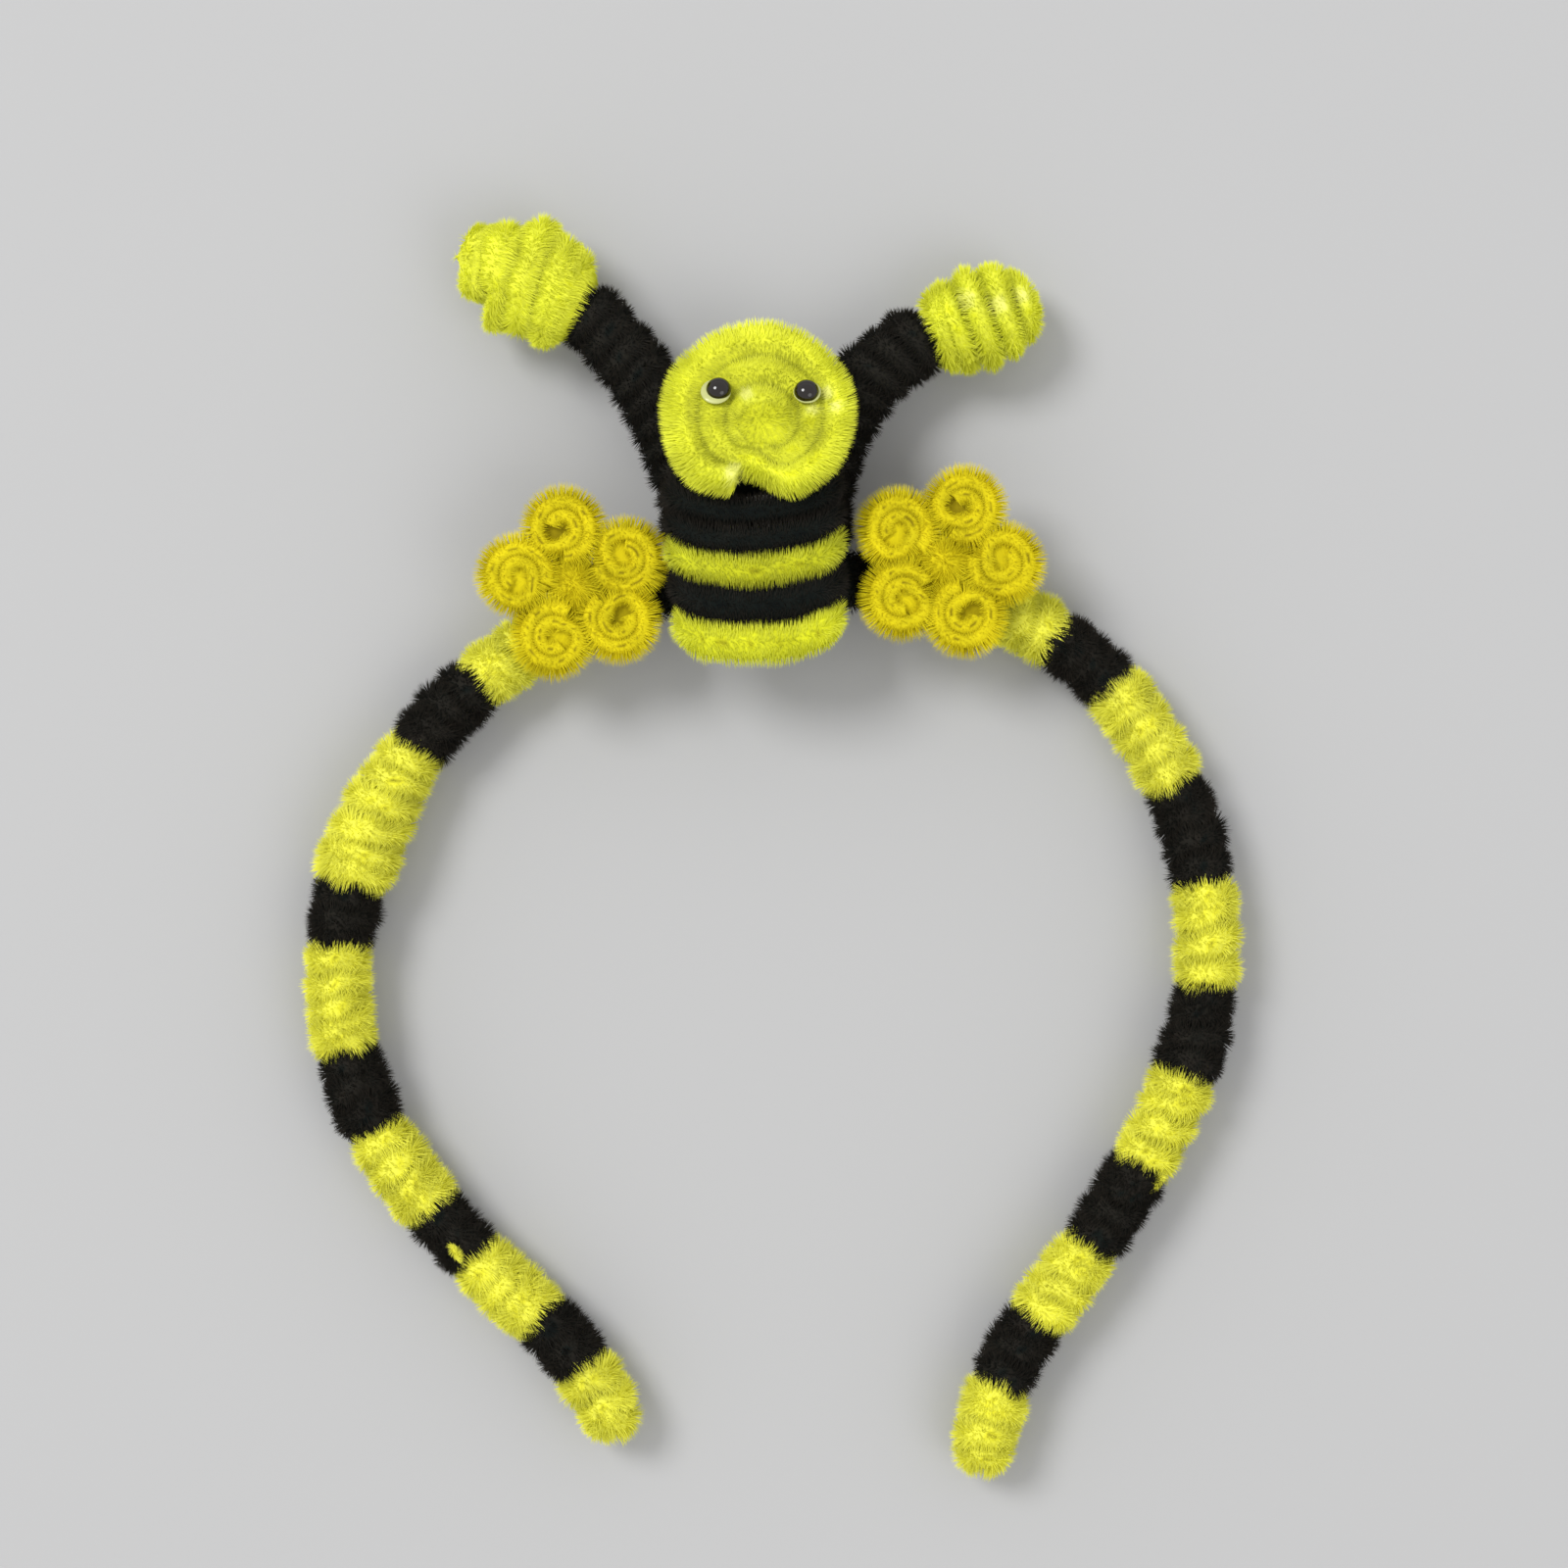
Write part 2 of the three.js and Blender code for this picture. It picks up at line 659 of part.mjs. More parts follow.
// One loop of the body: a ring whose section is an oval, bent round the loop's line
function loopGeometry(length, width) {
  const ringRadius = 2;
  const torus = new THREE.TorusGeometry(ringRadius, 1, LOOP_SIDES, LOOP_STEPS);
  return faceOutwards(reshape(torus, (point) => {
    const { line, outward } = loopLine(Math.atan2(point.y, point.x), width);
    const out = (Math.hypot(point.x, point.y) - ringRadius) * BODY_STEM / 2;
    const along = point.z * length / 2;
    point.copy(line).addScaledVector(outward, out);
    point.y += along;
  }));
}

function buildBody() {
  const group = new THREE.Group();
  let top = BODY_REACH;
  for (const { name, colour, width, ...row } of BODY_LOOPS) {
    const length = row.length * BODY_LENGTH;
    const loop = piece(name, colour, loopGeometry(length - SEAM, width));
    loop.position.y = top - length / 2;
    top -= length;
    group.add(loop);
  }
  group.position.copy(bodyMiddle);
  group.position.x += BODY_SHIFT;
  group.rotation.set(BODY_TILT * DEGREE, 0, BODY_YAW * DEGREE, 'ZXY');
  return group;
}

function petalGeometry() {
  const coil = coilGeometry({
    turns: PETAL_TURNS,
    step: PETAL_COIL_STEP,
    shift: PETAL_COIL_SHIFT,
    depth: PETAL_DEPTH,
    gap: PETAL_COIL_GAP,
    begin: PETAL_COIL_START,
    sense: 1,
    stepsPerTurn: COIL_STEPS,
    sides: STRAND_SIDES,
  });
  return reshape(coil, (point) => {
    point.x *= PETAL_REACH * (point.x > 0 ? 1 : PETAL_INWARD);
    point.y *= PETAL_REACH * PETAL_SIDEWAYS;
  });
}

function knobGeometry() {
  const profile = [new THREE.Vector2(0, -KNOB_DEPTH / 2)];
  for (let arc = 1; arc <= DOME_ARCS; arc += 1) {
    const angle = Math.PI * (arc / DOME_ARCS - 0.5);
    const radius = arc === DOME_ARCS ? 0 : KNOB_RADIUS * Math.cos(angle);
    profile.push(new THREE.Vector2(radius, KNOB_DEPTH / 2 * Math.sin(angle)));
  }
  return new THREE.LatheGeometry(profile, DOME_SIDES).rotateX(Math.PI / 2);
}

function buildFlower(flower, side, petals) {
  const group = new THREE.Group();
  const { point, across } = hoop.at(side * flower.station);
  group.position.copy(point).addScaledVector(across, flower.outward);
  group.position.z = HOOP_FRONT + SEAM + PETAL_DEPTH / 2;
  petals.forEach(({ swing }, index) => {
    const angle = (flower.turn + 360 * index / petals.length + swing) * DEGREE;
    const petal = piece(`${flower.name}_petal_${index + 1}`, 'gold', petalGeometry());
    petal.position.set(PETAL_RING * Math.cos(angle), PETAL_RING * Math.sin(angle), 0);
    petal.rotation.z = angle;
    group.add(petal);
  });
  group.add(piece(`${flower.name}_flower_knob`, 'gold', knobGeometry()));
  return group;
}

// The whole, moved so that its origin is the middle of its base
const headband = new THREE.Group();
headband.add(buildHoop());
headband.add(buildAntenna('left', -1, LEFT_STALK, LEFT_STALK_BENDS, LEFT_BALL));
headband.add(buildAntenna('right', 1, RIGHT_STALK, RIGHT_STALK_BENDS, RIGHT_BALL));
headband.add(buildBody());
headband.add(buildHead());
headband.add(buildFlower(LEFT_FLOWER, -1, LEFT_PETALS));
headband.add(buildFlower(RIGHT_FLOWER, 1, RIGHT_PETALS));
headband.updateMatrixWorld(true);
const extent = new THREE.Box3().setFromObject(headband, true);
const middle = extent.getCenter(new THREE.Vector3());
headband.position.set(-middle.x, -middle.y, -extent.min.z);

export default headband;
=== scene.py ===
"""Bee antenna headband: chenille pile, bead eyes and glue over the solids, and the studio."""

import logging
import math
from collections.abc import Callable
from dataclasses import dataclass
from enum import Enum

import bmesh
import bpy
from mathutils import Matrix, Vector, noise


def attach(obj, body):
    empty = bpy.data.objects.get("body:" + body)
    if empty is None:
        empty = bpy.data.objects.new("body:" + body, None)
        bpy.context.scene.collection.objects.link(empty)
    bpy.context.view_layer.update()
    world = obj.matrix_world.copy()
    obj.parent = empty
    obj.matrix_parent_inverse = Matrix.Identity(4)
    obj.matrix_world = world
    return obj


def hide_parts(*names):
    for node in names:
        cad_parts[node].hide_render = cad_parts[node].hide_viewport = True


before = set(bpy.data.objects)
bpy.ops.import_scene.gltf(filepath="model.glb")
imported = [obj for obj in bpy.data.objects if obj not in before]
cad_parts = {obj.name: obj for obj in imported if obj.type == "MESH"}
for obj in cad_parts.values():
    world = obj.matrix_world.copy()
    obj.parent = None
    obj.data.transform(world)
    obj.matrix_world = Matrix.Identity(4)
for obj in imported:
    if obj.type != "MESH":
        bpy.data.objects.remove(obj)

LOG = logging.getLogger("headband")
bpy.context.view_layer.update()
MM = 0.001
UP = Vector((0.0, 0.0, 1.0))
PILE_MAP = "OFBake"
TIP_LEVEL = 0.75  # where on the map the tip's own colour stands
MATTED_AND_SHEEN_LEVEL = 0.9  # where the pale pile stands: matted pile with painted sheen
# A fibre's darker foot is painted shade deep in the pile.
FIBRE_ROOT = 0.45  # how far a fibre's foot is from the root's colour to the tip's
BODY_LAYERS = ("pile", "reach", "tip", "pale", "dim")
SPENT_LAYERS = (*BODY_LAYERS, "aim", "shade", "side", "upright")
RGB = tuple[float, float, float]
Place = tuple[Vector, float, float]  # a corner's place, its share of pile and that pile's length
Reshape = Callable[["TubePoint"], Place]
Socket = bpy.types.NodeSocket
Tree = bpy.types.NodeTree


class Colour(Enum):
    """The stems that the headband is made of."""

    YELLOW = "yellow"
    LEMON = "lemon"
    GOLD = "gold"
    BLACK = "black"


# Sizes shared with the solids, in millimetres
CROWN = Vector((-0.277, 43.786, 0.0))
SEAM = 0.3
REST_FLAT = 0.35
BAND_HALF = (1.25, 2.75)
BLACK_STEM = 4.1
YELLOW_STEM = 4.4
HOOP_HEIGHT = BAND_HALF[1] + BLACK_STEM - REST_FLAT
HOOP_FRONT = HOOP_HEIGHT + BAND_HALF[1] + YELLOW_STEM


def smooth(low: float, high: float, value: float) -> float:
    """Eases value from 0 at low to 1 at high, which may be the smaller."""
    share = min(1.0, max(0.0, (value - low) / (high - low)))
    return share * share * (3.0 - 2.0 * share)


def flattened(share: float) -> float:
    """Turns a round section's height, from -1 to 1, into that of a flatter one."""
    return math.copysign(abs(share) ** 0.4, share)


def wobble(place: Vector, scale: float, seed: float = 0.0) -> float:
    """Gives smooth noise from -1 to 1 at a place, for lumps scale millimetres across."""
    return noise.noise(place / scale + Vector((seed, seed * 1.7, -seed)))


@dataclass(frozen=True)
class Bend:
    """A stretch of a route: its share of the length, and the degrees that it turns."""

    share: float
    turn: float


@dataclass(frozen=True)
class Route:
    """A level line of tangent bends, turned left where side is 1 and right where it is -1."""

    start: Vector
    heading: float
    bends: tuple[Bend, ...]
    length: float
    side: int = 1
    rise: float = 0.0

    def at(self, station: float) -> tuple[Vector, Vector, float]:
        """Finds the line's point, the way to its left and its heading.

        Args:
            station: the distance from the start, which may lie past either end.

        Returns:
            The point, the unit vector to the left and the heading in radians.
        """
        point = self.start.copy()
        heading = self.heading
        left = station
        for index, bend in enumerate(self.bends):
            length = bend.share * self.length
            run = left if index == len(self.bends) - 1 else min(left, length)
            swing = self.side * math.radians(bend.turn) * run / length
            chord = run if abs(swing) < 1e-9 else run * math.sin(swing / 2) / (swing / 2)
            point.x += chord * math.cos(heading + swing / 2)
            point.y += chord * math.sin(heading + swing / 2)
            heading += swing
            left -= run
        point.z += self.rise * smooth(0.0, self.length, station)
        return point, Vector((-math.sin(heading), math.cos(heading), 0.0)), heading


@dataclass(frozen=True)
class HoopRoute:
    """The hoop's middle line, from the left tip at minus its length to the right tip."""

    left: Route
    right: Route

    def at(self, station: float) -> tuple[Vector, Vector, float]:
        """Finds the line's point, the way outwards and its heading at a signed station."""
        if station >= 0:
            return self.right.at(station)
        point, across, heading = self.left.at(-station)
        return point, -across, heading - math.pi


LEFT_LENGTH = 191.5
RIGHT_LENGTH = 197.0
HOOP = HoopRoute(
    left=Route(
        Vector((CROWN.x, CROWN.y, HOOP_HEIGHT)), math.pi,
        (Bend(0.28, 42.5), Bend(0.21, 36.5), Bend(0.23, 48.0), Bend(0.15, 10.5), Bend(0.13, -31.5)),
        LEFT_LENGTH, side=1,
    ),
    right=Route(
        Vector((CROWN.x, CROWN.y, HOOP_HEIGHT)), 0.0,
        (
            Bend(0.175, 16.0), Bend(0.13, 34.0), Bend(0.365, 66.5), Bend(0.18, 12.0),
            Bend(0.15, -34.0),
        ),
        RIGHT_LENGTH, side=-1,
    ),
)


# Finishes


def group_input(tree: Tree, name: str, kind: str, value: object = None) -> None:
    """Adds a named input to a node group."""
    socket = tree.interface.new_socket(name, in_out="INPUT", socket_type=kind)
    if value is not None:
        socket.default_value = value


def new_material(name: str) -> tuple[bpy.types.Material, bpy.types.Node]:
    """Makes an empty material, and gives it with its Principled shader."""
    material = bpy.data.materials.new(name)
    material.use_nodes = True
    return material, material.node_tree.nodes["Principled BSDF"]


def show(name: str, data: bpy.types.ID) -> bpy.types.Object:
    """Makes an object of its data and shows it in the scene."""
    shown = bpy.data.objects.new(name, data)
    bpy.context.scene.collection.objects.link(shown)
    return shown


def pile_colour_group() -> Tree:
    """Builds the colour of pile, which depends on the pile's own map alone.

    The map's X tells one tuft from another. Its Y runs from a fibre's root, dark with painted
    shade, to its tip, and on to pale pile, matted and with painted sheen.

    Returns:
        The shader node group, built on the first call.
    """
    name = "pile_colour"
    if name in bpy.data.node_groups:
        return bpy.data.node_groups[name]
    tree = bpy.data.node_groups.new(name, "ShaderNodeTree")
    for colour in ("Root", "Middle", "Tip", "Pale"):
        group_input(tree, colour, "NodeSocketColor")
    group_input(tree, "Unevenness", "NodeSocketFloat", 0.25)
    tree.interface.new_socket("Colour", in_out="OUTPUT", socket_type="NodeSocketColor")
    tree.interface.new_socket("Roughness", in_out="OUTPUT", socket_type="NodeSocketFloat")
    nodes, links = tree.nodes, tree.links
    inputs, outputs = nodes.new("NodeGroupInput"), nodes.new("NodeGroupOutput")
    place = nodes.new("ShaderNodeUVMap")
    place.uv_map = PILE_MAP
    parts = nodes.new("ShaderNodeSeparateXYZ")
    links.new(place.outputs["UV"], parts.inputs["Vector"])
    # Root is painted shade deep in the pile; Pale is matted pile with painted sheen.
    shown = inputs.outputs["Root"]
    stages = (("Middle", 0.0, 0.3), ("Tip", 0.3, TIP_LEVEL), ("Pale", TIP_LEVEL, 1.0))
    for colour, low, high in stages:
        reach, mix = nodes.new("ShaderNodeMapRange"), nodes.new("ShaderNodeMix")
        reach.inputs["From Min"].default_value = low
        reach.inputs["From Max"].default_value = high
        mix.data_type = "RGBA"
        links.new(parts.outputs["Y"], reach.inputs["Value"])
        links.new(reach.outputs["Result"], mix.inputs["Factor"])
        links.new(shown, mix.inputs["A"])
        links.new(inputs.outputs[colour], mix.inputs["B"])
        shown = mix.outputs["Result"]
    stretch = nodes.new("ShaderNodeMapping")
    stretch.inputs["Scale"].default_value = (60.0, 2.0, 1.0)
    links.new(place.outputs["UV"], stretch.inputs["Vector"])
    streak = nodes.new("ShaderNodeTexNoise")
    streak.inputs["Scale"].default_value = 1.0
    links.new(stretch.outputs["Vector"], streak.inputs["Vector"])
    both = nodes.new("ShaderNodeMath")
    both.operation = "ADD"
    links.new(parts.outputs["X"], both.inputs[0])
    links.new(streak.outputs["Fac"], both.inputs[1])
    around = nodes.new("ShaderNodeMath")
    around.operation = "SUBTRACT"
    around.inputs[1].default_value = 1.2
    links.new(both.outputs["Value"], around.inputs[0])
    uneven = nodes.new("ShaderNodeMath")
    uneven.operation = "MULTIPLY_ADD"
    uneven.inputs[2].default_value = 1.0
    links.new(around.outputs["Value"], uneven.inputs[0])
    links.new(inputs.outputs["Unevenness"], uneven.inputs[1])
    tinted = nodes.new("ShaderNodeVectorMath")
    tinted.operation = "SCALE"
    links.new(shown, tinted.inputs["Vector"])
    links.new(uneven.outputs["Value"], tinted.inputs["Scale"])
    links.new(tinted.outputs["Vector"], outputs.inputs["Colour"])
    rough = nodes.new("ShaderNodeMapRange")
    rough.inputs["To Min"].default_value = 0.95
    rough.inputs["To Max"].default_value = 0.7
    links.new(parts.outputs["Y"], rough.inputs["Value"])
    links.new(rough.outputs["Result"], outputs.inputs["Roughness"])
    return tree


@dataclass(frozen=True)
class ChenilleFinish:
    """The pile of one colour of stem: dyed middle and tip colours, a root colour that is painted
    shade deep in the pile, and a pale colour for matted pile with painted sheen.
    """

    slot: str
    root: RGB
    middle: RGB
    tip: RGB
    pale: RGB
    unevenness: float = 0.5

    def material(self) -> bpy.types.Material:
        """Builds the finish's material once, and gives it again after that."""
        name = f"{self.slot}_pile"
        if name in bpy.data.materials:
            return bpy.data.materials[name]
        material, shader = new_material(name)
        nodes, links = material.node_tree.nodes, material.node_tree.links
        shader.inputs["Specular IOR Level"].default_value = 0.1
        pile = nodes.new("ShaderNodeGroup")
        pile.node_tree = pile_colour_group()
        colours = {"Root": self.root, "Middle": self.middle, "Tip": self.tip, "Pale": self.pale}
        for socket, value in colours.items():
            pile.inputs[socket].default_value = (*value, 1.0)
        pile.inputs["Unevenness"].default_value = self.unevenness
        links.new(pile.outputs["Colour"], shader.inputs["Base Color"])
        links.new(pile.outputs["Roughness"], shader.inputs["Roughness"])
        return material


@dataclass(frozen=True)
class GlossFinish:
    """A smooth hard finish: the plastic hoop, the beads or the glue."""

    name: str
    colour: RGB
    roughness: float
    grain: float
    coat: float = 0.0

    def material(self) -> bpy.types.Material:
        """Builds the finish's material once, and gives it again after that."""
        if self.name in bpy.data.materials:
            return bpy.data.materials[self.name]
        material, shader = new_material(self.name)
        nodes, links = material.node_tree.nodes, material.node_tree.links
        shader.inputs["Coat Weight"].default_value = self.coat
        shader.inputs["Coat Roughness"].default_value = 0.05
        place = nodes.new("ShaderNodeTexCoord")
        speckle = nodes.new("ShaderNodeTexNoise")
        speckle.inputs["Scale"].default_value = self.grain
        speckle.inputs["Detail"].default_value = 4.0
        links.new(place.outputs["Object"], speckle.inputs["Vector"])
        polish = nodes.new("ShaderNodeMapRange")
        polish.inputs["To Min"].default_value = self.roughness * 0.7
        polish.inputs["To Max"].default_value = self.roughness * 1.5
        links.new(speckle.outputs["Fac"], polish.inputs["Value"])
        links.new(polish.outputs["Result"], shader.inputs["Roughness"])
        tone = nodes.new("ShaderNodeMix")
        tone.data_type = "RGBA"
        tone.inputs["A"].default_value = (*(0.8 * part for part in self.colour), 1.0)
        tone.inputs["B"].default_value = (*self.colour, 1.0)
        links.new(speckle.outputs["Fac"], tone.inputs["Factor"])
        links.new(tone.outputs["Result"], shader.inputs["Base Color"])
        return material


@dataclass(frozen=True)
class Growth:
    """How a stem's fibres grow.

    density is in fibres a square millimetre, length and width are in millimetres, and stray and
    clump turn single fibres and whole tufts aside. The bed is the body's painted shade, its place
    between the colours of the roots, at 0, and of the tips, at 1. The parting value is how dark the
    painted shade in the partings is, pale how light the lightest tufts are, from matted pile and
    painted sheen, and the groove value how dark the painted shade between the turns is.
    """

    density: float
    length: float
    width: float
    stray: float
    clump: float
    bed_shade: float = 0.45
    parting_shade: float = 0.5
    pale: float = 0.0
    groove_shade: float = 0.0


# The bed, parting and groove values of these growths are painted shade.
TOUSLED = Growth(
    density=10.4, length=2.0, width=0.2, stray=0.12, clump=0.5, bed_shade=0.72, parting_shade=0.9, pale=0.2,
    groove_shade=0.65,
)
HIDDEN = Growth(density=4.2, length=2.1, width=0.24, stray=0.2, clump=1.1)
WOUND = Growth(
    density=10.4, length=1.8, width=0.19, stray=0.1, clump=0.3, bed_shade=0.72, parting_shade=0.6, pale=0.15,
    groove_shade=0.55,
)
COMBED = Growth(
    density=14.0, length=1.9, width=0.17, stray=0.09, clump=0.2, bed_shade=0.6, parting_shade=0.8, pale=0.1,
)
BANDED = Growth(
    density=13.5, length=1.9, width=0.17, stray=0.12, clump=0.3, bed_shade=0.42, parting_shade=0.9, pale=0.1,
)
RADIAL = Growth(
    density=13.5, length=2.3, width=0.16, stray=0.09, clump=0.12, bed_shade=0.55, parting_shade=0.9, pale=0.15,
)


# Each root colour is painted shade deep in the pile; each pale colour is matted pile with painted
# sheen.
FINISHES: dict[Colour, ChenilleFinish] = {
    Colour.YELLOW: ChenilleFinish(
        "yellow_chenille", (0.20, 0.18, 0.01), (0.66, 0.64, 0.035), (0.73, 0.73, 0.09),
        (0.86, 0.86, 0.25),
    ),
    Colour.LEMON: ChenilleFinish(
        "lemon_chenille", (0.26, 0.24, 0.008), (0.62, 0.64, 0.018), (0.70, 0.73, 0.065),
        (0.86, 0.86, 0.24),
    ),
    Colour.GOLD: ChenilleFinish(
        "gold_chenille", (0.14, 0.10, 0.004), (0.55, 0.46, 0.005), (0.64, 0.55, 0.010),
        (0.80, 0.72, 0.05),
    ),
    # The black tips and pale are brownish: painted sheen, the backlit glow at the pile's edges.
    Colour.BLACK: ChenilleFinish(
        "black_chenille", (0.002, 0.003, 0.003), (0.004, 0.006, 0.005), (0.019, 0.015, 0.011),
        (0.030, 0.026, 0.022),
    ),
}
PLASTIC = GlossFinish("band_plastic", (0.012, 0.012, 0.013), 0.3, 900.0, coat=0.5)
BEAD = GlossFinish("bead_gloss", (0.006, 0.003, 0.002), 0.05, 300.0)
GLUE = GlossFinish("clear_glue", (0.46, 0.48, 0.17), 0.3, 900.0, coat=0.2)


# Stems


@dataclass(frozen=True)
class TubePoint:
    """A corner of a wound tube before it is bent to its place.

    progress counts turns, angle is that turn's angle, out and along are the corner's distances
    from the tube's middle line, away from the winding's axis and along it.
    """

    progress: float
    angle: float
    out: float
    along: float


@dataclass(frozen=True)
class Patch:
    """A round patch of pale pile, matted and with painted sheen, by its middle and radius seen from
    above.
    """

    x: float
    y: float
    radius: float

    def share(self, place: Vector) -> float:
        """Gives how pale the pile is at a place, from 0 to 1, for matting and painted sheen."""
        away = math.hypot(place.x - self.x, place.y - self.y) / self.radius
        return smooth(1.0, 0.45, away)


WINDING_RADIUS = 10.0
WINDING_ADVANCE = 10.0


def wind_tube(
    turns: float, radius: float, sides: int, steps_a_turn: int, closed: bool = False,
) -> bmesh.types.BMesh:
    """Spins a round section into a regular winding round the X axis, with its ends filled.

    Args:
        turns: how many turns it has.
        radius: the section's radius.
        sides: the section's sides.
        steps_a_turn: the faces along each turn.
        closed: True for one whole turn that meets itself.

    Returns:
        The winding, whose advance tells each turn from the next.
    """
    mesh = bmesh.new()
    section = bmesh.ops.create_circle(mesh, segments=sides, radius=radius)
    turned = Matrix.Translation((0.0, WINDING_RADIUS, 0.0))
    bmesh.ops.transform(mesh, matrix=turned, verts=section["verts"])
    steps = max(3, round(turns * steps_a_turn))
    advance = 0.0 if closed else WINDING_ADVANCE * turns / steps
    bmesh.ops.spin(
        mesh, geom=mesh.verts[:] + mesh.edges[:], cent=(0.0, 0.0, 0.0), axis=(1.0, 0.0, 0.0),
        dvec=(advance, 0.0, 0.0), angle=2.0 * math.pi * turns, steps=steps, use_merge=closed,
    )
    if not closed:
        ends = [edge for edge in mesh.edges if edge.is_boundary]
        bmesh.ops.holes_fill(mesh, edges=ends, sides=0)
    bmesh.ops.recalc_face_normals(mesh, faces=mesh.faces)
    return mesh


def wound_share(point: TubePoint, turns: float) -> float:
    """Gives how far along its winding a corner lies, where the first and last turns stay put."""
    return min(1.0, max(0.0, (point.progress - 0.8) / (turns - 1.6)))


def reshape_tube(
    mesh: bmesh.types.BMesh, reshape: Reshape, growth: Growth, facing: Vector = UP,
    lay: float = 0.5, closed: bool = False, matted_and_sheen: tuple[Patch, ...] = (), dim: float = 0.0,
) -> None:
    """Moves each corner of a winding to its place, and writes how its pile grows there.

    The pile grows straight out from the stem's middle line, but is pressed flatter where it
    faces the viewer. Along that crest it parts here and there, and the partings show the root's
    colour as painted shade.

    Args:
        mesh: a winding from wind_tube.
        reshape: gives a corner's place in millimetres, its share of pile and that pile's length.
        growth: how its fibres grow.
        facing: the way that the piece faces.
        lay: how much of the pile's rise along facing is left.
        closed: True where the winding is one closed turn.
        matted_and_sheen: where its pile is pale, from matted pile and painted sheen.
        dim: how much darker than the rest its short pile is, as painted shade.
    """
    layers = mesh.verts.layers
    pile, reach, tip, pale, painted_shade_layer = (layers.float.new(name) for name in BODY_LAYERS)
    aim = layers.float_vector.new("aim")
    for vert in mesh.verts:
        angle = math.atan2(vert.co.z, vert.co.y)
        turned = angle / (2.0 * math.pi)
        if not closed:
            turned += round(vert.co.x / WINDING_ADVANCE - turned)
        along = vert.co.x - (0.0 if closed else turned * WINDING_ADVANCE)
        out = math.hypot(vert.co.y, vert.co.z) - WINDING_RADIUS
        place, share, length = reshape(TubePoint(turned, angle, out, along))
        inner, _, _ = reshape(TubePoint(turned, angle, out * 0.3, along * 0.3))
        way = (place - inner).normalized()
        crest = smooth(0.86, 0.98, way.dot(facing))
        worn = 1.0 - 0.4 * smooth(0.4, 0.9, way.dot(facing))
        # Painted shade: the partings along the crest show the root's dark colour.
        parting_shade = growth.parting_shade * crest * smooth(0.05, 0.25, wobble(place, 1.3, 7.0))
        seen = 0.12 + 0.73 * smooth(-0.55, -0.05, way.z) - 0.15 * smooth(0.3, 0.8, way.z)
        way -= facing * way.dot(facing) * (1.0 - lay)
        vert.co = place * MM
        vert[aim] = way
        vert[reach] = length * worn
        # Painted shade darkens short pile and closed windings.
        vert[painted_shade_layer] = dim if length < 0.8 or closed else 0.0
        vert[pile] = share * seen * (1.0 - 0.85 * parting_shade)
        # The body's colour is painted shade, darker still in the partings and on the tube's sides
        # between the turns.
        vert[tip] = growth.bed_shade * (1.0 - parting_shade) * (1.0 - growth.groove_shade * (1.0 - share))
        # Pale tufts at random and the patches: matted pile with painted sheen.
        tufts = growth.pale * smooth(0.0, 0.5, wobble(place, 2.6, 21.0))
        vert[pale] = max([tufts] + [patch.share(place) for patch in matted_and_sheen])


def attribute(nodes: bpy.types.Nodes, name: str, kind: str = "FLOAT") -> Socket:
    """Reads a named attribute in a Geometry Nodes group."""
    node = nodes.new("GeometryNodeInputNamedAttribute")
    node.data_type = kind
    node.inputs["Name"].default_value = name
    return next(socket for socket in node.outputs if socket.enabled)


def store(tree: Tree, name: str, kind: str, domain: str, value: Socket,
          geometry: Socket) -> Socket:
    """Writes a named attribute in a Geometry Nodes group, and gives the geometry on."""
    node = tree.nodes.new("GeometryNodeStoreNamedAttribute")
    node.data_type, node.domain = kind, domain
    node.inputs["Name"].default_value = name
    tree.links.new(geometry, node.inputs["Geometry"])
    tree.links.new(value, next(s for s in node.inputs if s.name == "Value" and s.enabled))
    return node.outputs["Geometry"]


def calculate(tree: Tree, operation: str, *values: object,
              vector: bool = False) -> Socket:
    """Adds one sum to a node group.

    Args:
        tree: the group.
        operation: the sum's name.
        *values: its terms, each a socket or a plain value.
        vector: True for a sum of vectors.

    Returns:
        The socket that holds the outcome.
    """
    node = tree.nodes.new("ShaderNodeVectorMath" if vector else "ShaderNodeMath")
    node.operation = operation
    sockets = [socket for socket in node.inputs if socket.enabled]
    for socket, value in zip(sockets, values):
        if isinstance(value, Socket):
            tree.links.new(value, socket)
        else:
            socket.default_value = value
    return next(socket for socket in node.outputs if socket.enabled)


def chance(tree: Tree, kind: str, low: object, high: object,
           seed: Socket, salt: int) -> Socket:
    """Gives each fibre its own random value from low to high."""
    node = tree.nodes.new("FunctionNodeRandomValue")
    node.data_type = kind
    tree.links.new(calculate(tree, "ADD", seed, float(salt)), node.inputs["Seed"])
    for name, limit in (("Min", low), ("Max", high)):
        next(s for s in node.inputs if s.name == name and s.enabled).default_value = limit
    return next(socket for socket in node.outputs if socket.enabled)


